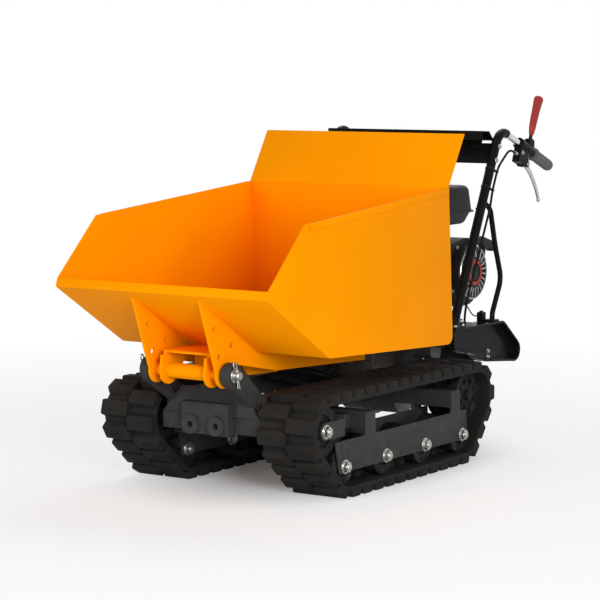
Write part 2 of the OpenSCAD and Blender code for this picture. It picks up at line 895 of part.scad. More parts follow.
module recoil_cover() {
    color([0.3, 0.3, 0.31]) difference() {
        union() {
            axle(recoil_back, recoil_x - 12 - recoil_back, crank_y, crank_z, recoil_r);
            axle(recoil_x - 12, 12, crank_y, crank_z, vent_in - 6);
            axle(recoil_x - 12, 6, crank_y, crank_z, recoil_r - 4);
            // Outlet nose for the starter cord
            on_cord() translate([0, 0, nose_low]) cylinder(r = nose_r, h = nose_top - nose_low);
        }
        for (k = [0 : vent_count - 1])
            translate([0, crank_y, crank_z]) rotate([k * 360 / vent_count, 0, 0])
                box([recoil_x - vent_d, vent_in, -vent_w / 2], [recoil_x + 1, vent_out, vent_w / 2]);
        axle(recoil_x - 6, 10, crank_y, crank_z, vent_in - 18);
        on_cord() translate([0, 0, -cord_len - 5]) cylinder(r = cord_hole_r, h = cord_len + 5);
    }
}

handle_half = 46;
handle_t = 22;

module recoil_grip() {
    color(black) on_cord() {
        translate([0, 0, -cord_len]) cylinder(r = cord_r, h = cord_len);
        translate([0, 0, nose_top + air_gap]) cylinder(r = nose_r, h = -nose_top);
        // Arched handle with a finger hollow at each side of the cord
        difference() {
            side_plate(-handle_t / 2, handle_t)
                round_outline([
                    [-handle_half, -5, 11], [handle_half, -5, 11],
                    [handle_half - 14, 6, 9], [-handle_half + 14, 6, 9]
                ]);
            for (side = [-1, 1])
                axle(-handle_t, 2 * handle_t, side * 27, -25, 17);
        }
    }
}

tank_x = [-72, 174];
tank_y = [348, 574];
tank_low = 684;
tank_top = 803;
seam_z = 725;
seam_out = 6;
tank_round = 30;

function round_rect(u, v, r) =
    [[u[0] + r, v[0] + r, r], [u[1] - r, v[0] + r, r], [u[1] - r, v[1] - r, r], [u[0] + r, v[1] - r, r]];

module fuel_tank() {
    color(black) {
        intersection() {
            side_plate(tank_x[0], tank_x[1] - tank_x[0])
                round_outline(round_rect(tank_y, [tank_low, tank_top], tank_round));
            translate([0, 0, tank_low]) linear_extrude(tank_top - tank_low)
                round_outline(round_rect(tank_x, tank_y, 42));
        }
        translate([0, 0, seam_z]) linear_extrude(5) round_outline(round_rect(tank_x, tank_y, 42), seam_out);
        translate([cap_x, cap_y, tank_top - 2]) cylinder(r = 22, h = 8);
    }
}

cap_x = 40;
cap_y = 450;
cap_r = 28;

module fuel_cap() {
    color(black) translate([cap_x, cap_y, tank_top + 6 + air_gap]) difference() {
        union() {
            cylinder(r = cap_r, h = 16);
            translate([-6, -cap_r + 4, 16]) cube([12, 2 * cap_r - 8, 8]);
        }
        for (k = [0 : 11])
            rotate(k * 30) translate([cap_r + 2, 0, -1]) cylinder(r = 4, h = 18);
    }
}

module air_cleaner() {
    color(black) {
        intersection() {
            side_plate(70, 104) round_outline(round_rect([330, 390], [570, 680], 16));
            translate([0, 0, 500]) linear_extrude(200) round_outline(round_rect([70, 174], [330, 390], 22));
        }
        // Carburettor between the cleaner and the cylinder head
        axle(58, 12, 375.7, 625.3, 14);
    }
}

module muffler() {
    color([0.28, 0.27, 0.26]) {
        difference() {
            side_plate(-160, 78) round_outline(round_rect([424, 540], [604, 700], 20));
            for (i = [0 : 4])
                box([-161, 440 + i * 18, 620], [-156, 448 + i * 18, 684]);
        }
        // Pipe from the cylinder head
        axle(-82, 24, 452, 620, 12);
    }
}

// Hydraulics

oil_x = [-252, -shelf_in];
oil_y = [204, 326];
oil_low = outrigger_top + shelf_t;
oil_top = 560;
filler = [oil_x[1] - 22, oil_y[1] - 20, oil_top];

module hydraulic_tank() {
    color(black) {
        translate([0, 0, oil_low]) linear_extrude(oil_top - oil_low)
            round_outline(round_rect(oil_x, oil_y, 16));
        translate(filler) cylinder(r = 14, h = 14);
        translate(filler + [0, 0, 14]) cylinder(r = 18, h = 12, $fn = 12);
    }
}

pump_y = 330;
pump_z = 312;

module hydraulic_pump() {
    color([0.55, 0.55, 0.56]) {
        axle(gearbox_w / 2 - 8, 66, pump_y, pump_z, 28);
        axle(gearbox_w / 2 + 58, 10, pump_y, pump_z, 32);
        translate([gearbox_w / 2 + 30, pump_y, pump_z + 20]) cylinder(r = 10, h = 22);
        translate([gearbox_w / 2 + 30, pump_y + 20, pump_z]) rotate([-90, 0, 0]) cylinder(r = 10, h = 22);
    }
}

valve_x = [-250, -212];
valve_y = [226, 286];
valve_h = 52;

module valve_block() {
    color([0.5, 0.5, 0.52]) difference() {
        union() {
            box([valve_x[0], valve_y[0], oil_top], [valve_x[1], valve_y[1], oil_top + valve_h]);
            for (y = [236, 276])
                translate([valve_x[1], y, oil_top + 18]) rotate([0, 90, 0]) cylinder(r = 9, h = 12);
            for (x = [-242, -224])
                box([x, 262, oil_top + valve_h], [x + 5, 282, oil_top + valve_h + 18]);
        }
        axle(-300, 100, 272, oil_top + valve_h + 9, 3 + run_gap);
    }
}

hose_r = 8;

module hydraulic_hoses() {
    x = gearbox_w / 2 + 30;
    port = oil_top + 18;
    color(black) {
        // Suction hose from the tank's foot to the pump
        bent_bar([
            [oil_x[1], 262, 390], [oil_x[1] + 14, 262, 390], [-166, 256, 352], [-100, 252, 350],
            [100, 252, 350], [128, 264, 356], [x, 292, 378], [x, 318, 386], [x, pump_y, 374], [x, pump_y, pump_z + 42]
        ], hose_r, [0.6, -0.8, 0], 10);
        // Pressure hose from the valve to the ram foot
        bent_bar([
            [valve_x[1] + 12, 236, port], [-176, 236, port], [-166, 190, port - 60], [-164, 172, 400],
            [-90, 160, 300], [-56, 120, 262], [-62, 80, 240], [-60, 49.6, 228], [-barrel_r - 12.5, 49.6, 228]
        ], hose_r, [0.6, 0.8, 0], 10);
    }
}

ram_len = norm([ram_head_y - ram_foot_y, ram_head_z - ram_foot_z]);
ram_angle = atan2(ram_head_z - ram_foot_z, ram_foot_y - ram_head_y);
barrel_len = 395;
eye_r = 24;
eye_w = 2 * clevis_in - 2 * air_gap;

// Puts a shape drawn along +Z onto the ram, starting at its foot pivot
module on_ram() {
    translate([0, ram_foot_y, ram_foot_z]) rotate([90 - ram_angle, 0, 0]) children();
}

module ram_barrel() {
    color(black) on_ram() difference() {
        union() {
            translate([-eye_w / 2, 0, 0]) rotate([0, 90, 0]) cylinder(r = eye_r, h = eye_w);
            translate([0, 0, 18]) cylinder(r = barrel_r, h = barrel_len - 18);
            translate([0, 0, barrel_len - 24]) cylinder(r = barrel_r + 4, h = 24);
            for (z = [52, barrel_len - 46])
                translate([-barrel_r - 12, 0, z]) rotate([0, 90, 0]) cylinder(r = 10, h = 20);
        }
        translate([-eye_w, 0, 0]) rotate([0, 90, 0]) cylinder(r = ram_pin_r + run_gap, h = 2 * eye_w);
        translate([0, 0, 46]) cylinder(r = rod_r + run_gap, h = barrel_len);
    }
}

rib_in = 36;
rib_t = 8;
rib_d = 72;
rib_y = [-510, -480, -340, -180];

module ram_rod() {
    color(zinc) on_ram() {
        translate([0, 0, 48]) cylinder(r = rod_r, h = ram_len - 48);
        translate([-20, 0, ram_len]) rotate([0, 90, 0]) cylinder(r = eye_r, h = 40);
        translate([-rib_in + air_gap, 0, ram_len]) rotate([0, 90, 0])
            cylinder(r = ram_pin_r, h = 2 * (rib_in - air_gap));
    }
}

// Skip

skip_x = skip_w / 2;
lip_lean = 8;
lip_low = [lip_y - lip_lean, lip_z - sqrt(lip_h * lip_h - lip_lean * lip_lean)];
bend = [bend_y, bend_z];
floor_rear = [floor_rear_y, floor_rear_z];
side_rear = [side_rear_y, side_rear_z];
fold_r = 26;
fold_steps = 6;

function left_of(d) = [-d[1], d[0]];

// Points on the arc of radius r that rounds the corner q between p and s
function fold(p, q, s, r) =
    let (
        u = unit(p - q), v = unit(s - q), half = acos(u * v) / 2,
        centre = q + unit(u + v) * r / sin(half),
        start = q + u * r / tan(half) - centre,
        way = u[1] * v[0] - u[0] * v[1] > 0 ? 1 : -1,
        sweep = way * (180 - 2 * half)
    )
    [for (k = [0 : fold_steps])
        let (a = atan2(start[1], start[0]) + sweep * k / fold_steps)
        centre + r * [cos(a), sin(a)]];

// The outer face of the folded sheet, from the front lip to the top of the back wall
skip_line = concat(
    [[lip_y, lip_z], lip_low],
    fold(lip_low, bend, floor_rear, fold_r),
    fold(bend, floor_rear, side_rear, fold_r),
    [side_rear, [back_top_y, back_top_z]]
);

// The same line moved inwards by t, with mitred corners
function inset_point(line, i, t) =
    let (
        last = len(line) - 1,
        a = left_of(unit(line[max(i, 1)] - line[max(i, 1) - 1])),
        b = left_of(unit(line[min(i, last - 1) + 1] - line[min(i, last - 1)]))
    )
    line[i] + (a + b) * t / (1 + a * b);
function inset_line(line, t) = [for (i = [len(line) - 1 : -1 : 0]) inset_point(line, i, t)];

// Height of the side walls' top edge at y
function side_top(y) =
    side_front_z + (y - side_front_y) * (side_rear_z - side_front_z) / (side_rear_y - side_front_y);

hem_start = side_front_y + 22;
hem_end = side_rear_y - 8;

module skip_shell() {
    color(orange) {
        side_plate(-skip_x + sheet, skip_w - 2 * sheet)
            polygon(concat(skip_line, inset_line(skip_line, sheet)));
        both_sides() {
            side_plate(skip_x - sheet, sheet)
                polygon(concat(
                    [for (p = skip_line) if (p[1] <= side_rear_z) p], [[side_front_y, side_front_z]]
                ));
            // Folded hem along the top edge
            side_plate(skip_x, hem_out)
                polygon([
                    [hem_start, side_top(hem_start)], [hem_start, side_top(hem_start) - hem_h],
                    [hem_end, side_top(hem_end) - hem_h], [hem_end, side_top(hem_end)]
                ]);
        }
    }
}

slope_rise = (lip_low[1] - bend_z) / (lip_low[0] - bend_y);
function slope_z(y) = bend_z + (y - bend_y) * slope_rise;
function slope_y(z) = bend_y + (z - bend_z) / slope_rise;
// The fold between slope and floor, from the rear to the front
floor_fold = fold(floor_rear, bend, lip_low, fold_r);
gusset_top_y = -806;
stiffener_end = 14;
bracket_top_z = 408;
bracket_low_z = bracket_top_z - 7;
bracket_front_y = -724;
spacer_r = 16;
gusset_holes = [[-741, 478], [-661, 427], [-719, 402]];
gusset_hole_r = 8;

module skip_brackets() {
    inner_t = 8;
    pin_hole = pin_r + run_gap;
    color(orange) {
        difference() {
            union() {
                both_sides() {
                    // Outer hinge plate, which runs on as a stiffener under the floor
                    side_plate(gusset_x, gusset_t) {
                        polygon(concat(
                            [
                                [gusset_top_y, slope_z(gusset_top_y)], [hinge_y - 54, hinge_z + 50],
                                [hinge_y - lug_r, hinge_z + 6], [hinge_y, hinge_z],
                                [hinge_y + lug_r - 6, hinge_z + 16], [hinge_y + 50, hinge_z + 22],
                                [bend_y + 90, floor_z(bend_y + 90) - stiffener_d],
                                [stiffener_end, floor_z(stiffener_end) - stiffener_d],
                                [stiffener_end, floor_z(stiffener_end)]
                            ],
                            floor_fold
                        ));
                        translate([hinge_y, hinge_z]) circle(r = lug_r);
                    }
                    // Inner hinge plate
                    side_plate(inner_lug_x, inner_t)
                        round_outline([
                            [hinge_y, hinge_z, lug_r + 1], [hinge_y + 80, bracket_low_z - 7, 6],
                            [bracket_front_y + 6, bracket_low_z, 6]
                        ]);
                    axle(inner_lug_x, gusset_x - inner_lug_x, hinge_y, hinge_z, spacer_r);
                    // Ribs that take the ram's thrust
                    side_plate(rib_in, rib_t)
                        polygon([
                            [rib_y[0], floor_z(rib_y[0])], [rib_y[0], floor_z(rib_y[0]) - 36],
                            [rib_y[1], floor_z(rib_y[1]) - rib_d], [rib_y[2], floor_z(rib_y[2]) - rib_d],
                            [rib_y[3], floor_z(rib_y[3]) - 18], [rib_y[3], floor_z(rib_y[3])]
                        ]);
                }
                axle(-inner_lug_x, 2 * inner_lug_x, hinge_y, hinge_z, hinge_tube_r);
                // Plate across the top of the inner hinge plates, welded to the slope
                side_plate(-inner_lug_x - inner_t, 2 * (inner_lug_x + inner_t))
                    polygon([
                        [bracket_front_y, bracket_low_z], [slope_y(bracket_low_z), bracket_low_z],
                        [slope_y(bracket_top_z), bracket_top_z], [bracket_front_y, bracket_top_z]
                    ]);
            }
            axle(-skip_x, skip_w, hinge_y, hinge_z, pin_hole);
            for (h = gusset_holes)
                axle(-skip_x, skip_w, h[0], h[1], gusset_hole_r);
        }
    }
}

pin_end = 166;
washer_r = 20;

module hinge_pin() {
    color(zinc) {
        axle(-pin_end, 2 * pin_end, hinge_y, hinge_z, pin_r);
        both_sides() {
            difference() {
                axle(arm_x + arm_w, 3, hinge_y, hinge_z, washer_r);
                axle(arm_x + arm_w - 1, 5, hinge_y, hinge_z, pin_r);
            }
            // Split pin through the end
            bar([arm_x + arm_w + 6.5, hinge_y - 10, hinge_z + 24],
                [arm_x + arm_w + 6.5, hinge_y + 10, hinge_z - 24], 2.5);
            translate([arm_x + arm_w + 6.5, hinge_y - 11, hinge_z + 28]) rotate([0, 90, 0])
                rotate_extrude() translate([6, 0]) circle(r = 2, $fn = 16);
        }
    }
}

// Handles

foot_t = 8;
tube_foot = [handle_x, foot_y, guard_top_z + foot_t];
up = [0, sin(lean), cos(lean)];
back = [0, cos(lean), -sin(lean)];
tube_end = tube_foot + tube_len * up;
bend_centre = tube_end + bend_r * back;
bar_dir = [0, cos(drop), -sin(drop)];
bar_up = [0, sin(drop), cos(drop)];
bar_start = bend_centre + bend_r * bar_up;
// A point beside the left handle tube: height along the tube, then distance behind its axis
function by_tube(s, behind, out = 0) = tube_foot + s * up + behind * back + [out, 0, 0];
function beside_tube(s, behind) = let (p = by_tube(s, behind)) [p[1], p[2]];
// A point beside the left handlebar: distance along the bar, then height above its axis
function by_bar(s, above, out = 0) = bar_start + s * bar_dir + above * bar_up + [out, 0, 0];

// Puts a shape on the left handlebar, with +Y along the bar
module on_bar(s) {
    translate(by_bar(s, 0)) rotate([-drop, 0, 0]) children();
}

rod_tab_s = 376;
stay_s = 400;

weld_r = tube_r + 0.6;
weld_w = 3;

module handle_tubes() {
    color(black) both_sides() {
        difference() {
            bar(tube_foot - foot_t * up, tube_end, tube_r);
            box([0, 0, 0], [2 * handle_x, 2 * foot_y, guard_top_z + 1]);
        }
        translate(bend_centre) rotate([90, 0, 90]) rotate([0, 0, 90 - drop])
            rotate_extrude(angle = 90 - lean + drop) translate([bend_r, 0]) circle(r = tube_r);
        // Weld between the straight stretch and the bend
        bar(tube_end - weld_w * up, tube_end + weld_w * up, weld_r);
        // Foot plate
        box([handle_x - 26, foot_y - 30, guard_top_z], [handle_x + 26, foot_y + 30, guard_top_z + foot_t]);
    }
}

module handlebars() {
    color(zinc) both_sides() bar(bar_start, by_bar(bar_len, 0), bar_r);
}

module grips() {
    color([0.25, 0.25, 0.26]) both_sides() on_bar(bar_len - grip_len)
        rotate([-90, 0, 0]) difference() {
            union() {
                cylinder(r = grip_r, h = grip_len + 5);
                cylinder(r = grip_r + 3, h = 6);
            }
            translate([0, 0, -1]) cylinder(r = bar_r + run_gap, h = grip_len + 1 + air_gap);
            for (i = [1 : 8])
                translate([0, 0, 6 + i * 11]) rotate_extrude()
                    translate([grip_r + 1, 0]) circle(r = 2, $fn = 16);
        }
}

console_half = handle_x - tube_r;
console_line = [[420, 948], [496, 944], [466, 974], [420, 976]];
console_t = 3;

module console() {
    color(black) {
        side_plate(-console_half, 2 * console_half)
            difference() {
                polygon(console_line);
                polygon([
                    console_line[0] + [console_t, console_t], console_line[1] + [-3 * console_t, console_t],
                    console_line[2] + [-console_t / 2, -console_t], console_line[3] + [console_t, -console_t]
                ]);
            }
        // Mounting tongues down to the cross panel
        for (x = [-230, 210])
            side_plate(x, 20)
                polygon([for (q = [[572, -2], [572, -5], [602, -5], [602, -2]]) beside_tube(q[0], q[1])]);
    }
}

panel_s = [524, 590];
panel_t = 4;

gear_x = -120;
gear_s = 550;
gear_behind = 18;
gear_pin_r = 4;
ear_gap = 4;
ear_t = 5;

module cross_panel() {
    h = panel_t / 2;
    color(black) {
        side_plate(-console_half, 2 * console_half)
            polygon([
                beside_tube(panel_s[0], -h), beside_tube(panel_s[0], h),
                beside_tube(panel_s[1], h), beside_tube(panel_s[1], -h)
            ]);
        // Ears of the gear lever
        difference() {
            for (x = [gear_x - ear_gap - ear_t, gear_x + ear_gap])
                side_plate(x, ear_t)
                    polygon([
                        beside_tube(gear_s - 14, 0), beside_tube(gear_s - 10, gear_behind + 10),
                        beside_tube(gear_s + 10, gear_behind + 10), beside_tube(gear_s + 14, 0)
                    ]);
            let (p = beside_tube(gear_s, gear_behind))
                axle(gear_x - 20, 40, p[0], p[1], gear_pin_r + run_gap);
        }
    }
}

bolt_r = 6;
// A hex bolt head with washer on a face that looks along +X
module bolt_x(x, y, z, r) {
    translate([x, y, z]) rotate([0, 90, 0]) {
        cylinder(r = 1.35 * r, h = 1.5);
        translate([0, 0, 1.5]) cylinder(r = r, h = 5, $fn = 6);
    }
}

module frame_bolts() {
    color(zinc) both_sides() {
        // Cross panel to handle tubes
        for (s = [535, 580])
            let (p = by_tube(s, 0)) bolt_x(handle_x + tube_r, p[1], p[2], bolt_r);
        // Guards to outriggers and brackets
        for (d = [-9, 9]) {
            bolt_x(panel_in + guard_t, outrigger_y[0] + d, outrigger_top - outrigger / 4, 5);
            bolt_x(panel_in + guard_t, (bracket_y[0] + bracket_y[1]) / 2, rail_top + outrigger / 2 + 6 + d, 5);
        }
        // Foot plates
        for (dx = [-19, 19], dy = [-23, 23])
            translate([handle_x + dx, foot_y + dy, guard_top_z + foot_t]) cylinder(r = 5, h = 5, $fn = 6);
    }
}

perch_s = 104;
steer_pivot = [46, -46];
drive_pivot = [50, 28];
pivot_r = 4;
lever_t = 6;

module lever_perch() {
    on_bar(perch_s) difference() {
        union() {
            translate([0, -18, 0]) rotate([-90, 0, 0]) cylinder(r = 19, h = 36);
            box([-13, -16, -58], [13, 30, -8]);
            // Ears of the steering lever
            for (x = [-11, lever_t / 2 + air_gap])
                translate([x, 0, 0]) side_plate(0, 11 - lever_t / 2 - air_gap)
                    round_outline([[20, -58, 4], [steer_pivot[0], steer_pivot[1], 10], [20, -14, 4]]);
        }
        translate([0, -40, 0]) rotate([-90, 0, 0]) cylinder(r = bar_r + run_gap, h = 80);
        box([-lever_t / 2 - air_gap, 26, -70], [lever_t / 2 + air_gap, 60, -20]);
        axle(-30, 60, steer_pivot[0], steer_pivot[1], pivot_r + run_gap);
    }
}

module lever_perches() {
    color(black) {
        both_sides() lever_perch();
        // Clamp of the drive lever, on the left handlebar only
        on_bar(perch_s) difference() {
            union() {
                translate([0, 24, 0]) rotate([-90, 0, 0]) cylinder(r = 17, h = 46);
                for (x = [-11, lever_t / 2 + air_gap])
                    translate([x, 0, 0]) side_plate(0, 11 - lever_t / 2 - air_gap)
                        round_outline([
                            [34, 6, 4], [66, 6, 4],
                            [drive_pivot[0] + 4, drive_pivot[1], 9], [drive_pivot[0] - 6, drive_pivot[1], 9]
                        ]);
            }
            translate([0, -40, 0]) rotate([-90, 0, 0]) cylinder(r = bar_r + run_gap, h = 200);
            box([-lever_t / 2 - air_gap, 20, 13], [lever_t / 2 + air_gap, 90, 60]);
            box([-40, 0, -60], [40, 30, -8]);
            axle(-30, 60, drive_pivot[0], drive_pivot[1], pivot_r + run_gap);
        }
    }
}

module steer_lever() {
    color(zinc) on_bar(perch_s) {
        side_plate(-lever_t / 2, lever_t) {
            round_outline([[steer_pivot[0], steer_pivot[1], 9], [118, -84, 6], [112, -72, 6]]);
            round_outline([[116, -79, 6.5], [176, -122, 5], [172, -112, 5]]);
        }
        translate([0, 174, -117]) sphere(r = 7);
        axle(-11, 22, steer_pivot[0], steer_pivot[1], pivot_r);
    }
}

red = [0.62, 0.16, 0.14];
drive_top = 176;

module drive_lever() {
    y = drive_pivot[0];
    color(red) on_bar(perch_s) {
        side_plate(-lever_t / 2, lever_t)
            round_outline([[y, drive_pivot[1], 8], [y + 6, drive_top - 6, 6], [y - 5, drive_top - 6, 6]]);
        // Dipped upper half
        side_plate(-lever_t / 2 - 2, lever_t + 4)
            round_outline([[y, 76, 9], [y + 6, drive_top - 5, 7], [y - 5, drive_top - 5, 7]]);
        axle(-11, 22, drive_pivot[0], drive_pivot[1], pivot_r);
    }
}

stay_r = 8;
stay_foot = [handle_x, 464, guard_top_z];
stay_foot_t = 6;

module rear_stays() {
    color(black) both_sides() {
        bent_bar([
            by_tube(stay_s, tube_r), by_tube(stay_s, tube_r + 16),
            [handle_x, 450, 738], [handle_x, 482, 627], [handle_x, 523, 522],
            stay_foot + [0, 4, 24], stay_foot + [0, 4, stay_foot_t]
        ], stay_r);
        box([handle_x - 18, stay_foot[1] - 20, guard_top_z],
            [handle_x + 18, stay_foot[1] + 16, guard_top_z + stay_foot_t]);
    }
}

cable_r = 3.5;
cable_out = 13;
cable_behind = 21;
cable_y = 274;

module control_cable() {
    color(black) {
        bent_bar([
            by_bar(perch_s - 16, -34), by_bar(perch_s - 34, -35),
            by_bar(perch_s - 62, -38, 4), by_bar(perch_s - 88, -52, 8),
            by_tube(520, cable_behind, cable_out), by_tube(440, cable_behind, cable_out),
            by_tube(392, 30, cable_out),
            by_tube(240, 26, cable_out), by_tube(90, 22, cable_out), [handle_x + cable_out, cable_y, 434],
            [handle_x + cable_out, cable_y, guard_top_z]
        ], cable_r, [1, 0, 0], 8, 24, 4);
        // Clips that hold the cable to the tube
        for (s = [446, 506])
            translate(by_tube(s, 0)) rotate([-lean, 0, 0]) linear_extrude(8)
                difference() {
                    round_outline([[0, 0, tube_r + 1.5], [cable_out, cable_behind, cable_r + 1.5]]);
                    circle(r = tube_r);
                    translate([cable_out, cable_behind]) circle(r = cable_r + run_gap);
                }
    }
}

link_r = 3;
rod_x = handle_x - tube_r - link_r;
spring_y = 287;
spring_z = [414, 474];
seat_r = 9;
seat_t = 3;
clamp_y = [418, 442];
clamp_h = 30;

module drive_rod() {
    color(zinc) {
        // Rod from the handle tube down to the spring
        bent_bar([
            by_tube(rod_tab_s, 0, -tube_r - link_r), by_tube(rod_tab_s, 20, -tube_r - link_r),
            [rod_x, spring_y, 500],
            [rod_x, spring_y, spring_z[1] + seat_t]
        ], link_r, [1, 0, 0], 8);
        // Seats of the spring
        translate([rod_x, spring_y, spring_z[1]]) cylinder(r = seat_r, h = seat_t);
        translate([rod_x, spring_y, spring_z[0] - seat_t]) cylinder(r = seat_r, h = seat_t);
        translate([rod_x, spring_y, guard_top_z]) cylinder(r = link_r, h = spring_z[0] - seat_t - guard_top_z);
        // Link from the upper seat to the rear clamp
        bent_bar([
            [rod_x, spring_y + seat_r, spring_z[1] + 1.5], [rod_x, spring_y + seat_r + 20, spring_z[1] + 1.5],
            [rod_x, clamp_y[0] - 40, guard_top_z + 22], [rod_x, clamp_y[0], guard_top_z + 20]
        ], 1.5, [1, 0, 0], 8);
        box([rod_x - 10, clamp_y[0], guard_top_z], [rod_x + 10, clamp_y[1], guard_top_z + clamp_h]);
    }
}

// Return spring: one wire wound in curls between the rod and its anchor
coil_r = 7;
wire_r = 1;
curls = 20;
curl_rings = 8;
wire_sides = 6;
spring_rings = curls * curl_rings;
function coil_point(k) =
    let (t = k / curl_rings * 360)
    [rod_x + coil_r * cos(t), spring_y + coil_r * sin(t),
        spring_z[0] + wire_r + (spring_z[1] - spring_z[0] - 2 * wire_r) * k / spring_rings];
function coil_way(k) = let (t = k / curl_rings * 360) [-sin(t), cos(t), 0];
// Each ring lies in a plane through the axis; the wire's ends run on straight by one wire thickness
function coil_ring(k) =
    let (
        m = min(max(k, 0), spring_rings), t = m / curl_rings * 360,
        c = coil_point(m) + 2 * wire_r * (k - m) * coil_way(m)
    )
    [for (j = [0 : wire_sides - 1])
        let (a = j * 360 / wire_sides)
        c + wire_r * [cos(t) * cos(a), sin(t) * cos(a), sin(a)]];
curl_gap = (spring_z[1] - spring_z[0] - 2 * wire_r) / curls - 2 * wire_r;
echo(least_gap_between_curls = curl_gap);

module return_spring() {
    points = [for (k = [-1 : spring_rings + 1]) each coil_ring(k)];
    color(zinc) polyhedron(points, tube_faces(spring_rings + 3, wire_sides));
}

knob_r = 16;
gear_knob = [gear_x, 575, 955];
lever_rod_r = 6;

module gear_lever() {
    p = beside_tube(gear_s, gear_behind);
    color(black) {
        axle(gear_x - ear_gap - ear_t, 2 * (ear_gap + ear_t), p[0], p[1], gear_pin_r);
        axle(gear_x - ear_gap + air_gap, 2 * (ear_gap - air_gap), p[0], p[1], 9);
        bar([gear_x, p[0], p[1]] + 6 * unit(gear_knob - [gear_x, p[0], p[1]]), gear_knob, ear_gap - air_gap - 0.1);
        translate(gear_knob) sphere(r = knob_r);
    }
}

valve_pivot = [-230.5, 272, 621];
valve_knob = [-230.5, 590, 900];
valve_pin_r = 3;

module valve_lever() {
    color(black) {
        axle(-242, 23, valve_pivot[1], valve_pivot[2], valve_pin_r);
        bar(valve_pivot, valve_knob, lever_rod_r);
        translate(valve_knob) sphere(r = knob_r);
    }
}

chassis_frame();
front_box();
track_frame();  // track_frame_left
mirror([1, 0, 0]) track_frame();  // track_frame_right
idler_forks();
axle_bolts();
track_belt();  // track_belt_left
mirror([1, 0, 0]) track_belt();  // track_belt_right
rear_guards();
engine_rails();
gearbox();
drive_belt();
belt_guard();
hydraulic_tank();
hydraulic_pump();
valve_block();
hydraulic_hoses();
engine_block();
fan_housing();
recoil_cover();
fuel_tank();
air_cleaner();
muffler();
handle_tubes();
handlebars();
console();
cross_panel();
frame_bolts();
grips();
lever_perches();
rear_stays();
control_cable();
drive_rod();
return_spring();
hinge_pin();
skip_shell();
skip_brackets();
ram_barrel();
ram_rod();
sprocket();  // sprocket_left
mirror([1, 0, 0]) sprocket();  // sprocket_right
idler();  // idler_left
mirror([1, 0, 0]) idler();  // idler_right
roller(0);  // roller_left_1
roller(1);  // roller_left_2
roller(2);  // roller_left_3
roller(3);  // roller_left_4
mirror([1, 0, 0]) roller(0);  // roller_right_1
mirror([1, 0, 0]) roller(1);  // roller_right_2
mirror([1, 0, 0]) roller(2);  // roller_right_3
mirror([1, 0, 0]) roller(3);  // roller_right_4
engine_pulley();
gearbox_pulley();
recoil_grip();
fuel_cap();
steer_lever();  // steer_lever_left
mirror([1, 0, 0]) steer_lever();  // steer_lever_right
drive_lever();
gear_lever();
valve_lever();
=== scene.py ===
# %% [markdown]
# # Tracked power carrier
# A walk-behind mini dumper: rubber tracks, a folded orange skip, an engine behind it and two handlebars.
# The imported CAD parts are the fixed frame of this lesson. Each step dresses one group of parts in the
# same place, so that the joints still fit.

# %% Load the frame
import json
import math

import bmesh
import bpy
from mathutils import Matrix, Vector

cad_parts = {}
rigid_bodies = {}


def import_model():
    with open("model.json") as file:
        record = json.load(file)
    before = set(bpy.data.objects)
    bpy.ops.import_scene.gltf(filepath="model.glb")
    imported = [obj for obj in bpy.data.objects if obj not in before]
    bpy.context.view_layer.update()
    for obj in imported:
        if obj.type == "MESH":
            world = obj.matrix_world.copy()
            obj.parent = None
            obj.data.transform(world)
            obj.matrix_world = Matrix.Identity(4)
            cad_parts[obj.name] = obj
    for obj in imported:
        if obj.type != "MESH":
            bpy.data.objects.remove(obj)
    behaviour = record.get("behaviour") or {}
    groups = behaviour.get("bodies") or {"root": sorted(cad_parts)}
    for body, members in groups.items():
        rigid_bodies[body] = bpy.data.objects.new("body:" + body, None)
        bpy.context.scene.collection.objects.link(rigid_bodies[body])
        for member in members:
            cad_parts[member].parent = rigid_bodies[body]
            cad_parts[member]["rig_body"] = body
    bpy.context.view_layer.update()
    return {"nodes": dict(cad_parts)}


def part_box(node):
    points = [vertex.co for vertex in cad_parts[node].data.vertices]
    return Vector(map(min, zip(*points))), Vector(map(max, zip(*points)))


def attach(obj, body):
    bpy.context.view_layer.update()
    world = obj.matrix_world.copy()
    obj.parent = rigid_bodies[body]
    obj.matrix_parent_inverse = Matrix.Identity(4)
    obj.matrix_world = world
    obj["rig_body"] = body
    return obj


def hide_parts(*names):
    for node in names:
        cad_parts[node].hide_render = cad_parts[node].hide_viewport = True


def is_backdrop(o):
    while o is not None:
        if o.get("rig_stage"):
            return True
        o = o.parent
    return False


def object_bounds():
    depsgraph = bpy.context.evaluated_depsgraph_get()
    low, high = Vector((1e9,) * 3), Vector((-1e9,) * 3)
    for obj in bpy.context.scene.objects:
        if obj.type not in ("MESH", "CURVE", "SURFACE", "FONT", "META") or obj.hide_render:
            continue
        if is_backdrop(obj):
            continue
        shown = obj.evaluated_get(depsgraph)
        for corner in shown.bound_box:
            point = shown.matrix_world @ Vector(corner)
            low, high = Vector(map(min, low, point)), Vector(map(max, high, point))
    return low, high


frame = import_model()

MM = 0.001
nodes = frame["nodes"]

# %% [markdown]
# ## Camera and studio
# The view comes from the front left corner with a long lens, a little above the skip's floor. The floor and
# the sky are white to the camera and to mirrors, but light the machine as a soft grey room would. One large
# lamp on the machine's left side makes the side wall the brightest face, as in a studio shot.

# %% Camera
scene = bpy.context.scene
camera = bpy.data.objects.new("camera", bpy.data.cameras.new("camera"))
scene.collection.objects.link(camera)
EYE, AIM, LENS = Vector((3.5941, -5.5831, 1.1880)), Vector((-0.0005, -0.1564, 0.4983)), 135.8
camera.location = EYE
camera.rotation_euler = (AIM - EYE).to_track_quat("-Z", "Y").to_euler()
camera.data.lens = LENS
scene.camera = camera
scene.view_settings.view_transform = "Standard"
print("camera", round((AIM - EYE).length, 2), "m away")


# %% [markdown]
# ## Shader maths as sums
# A material is a graph of nodes. Three small classes keep it readable: `Wire` is one socket that can be added
# and multiplied like a number, `Graph` makes any node by its `node` method, and `Finish` is one material.

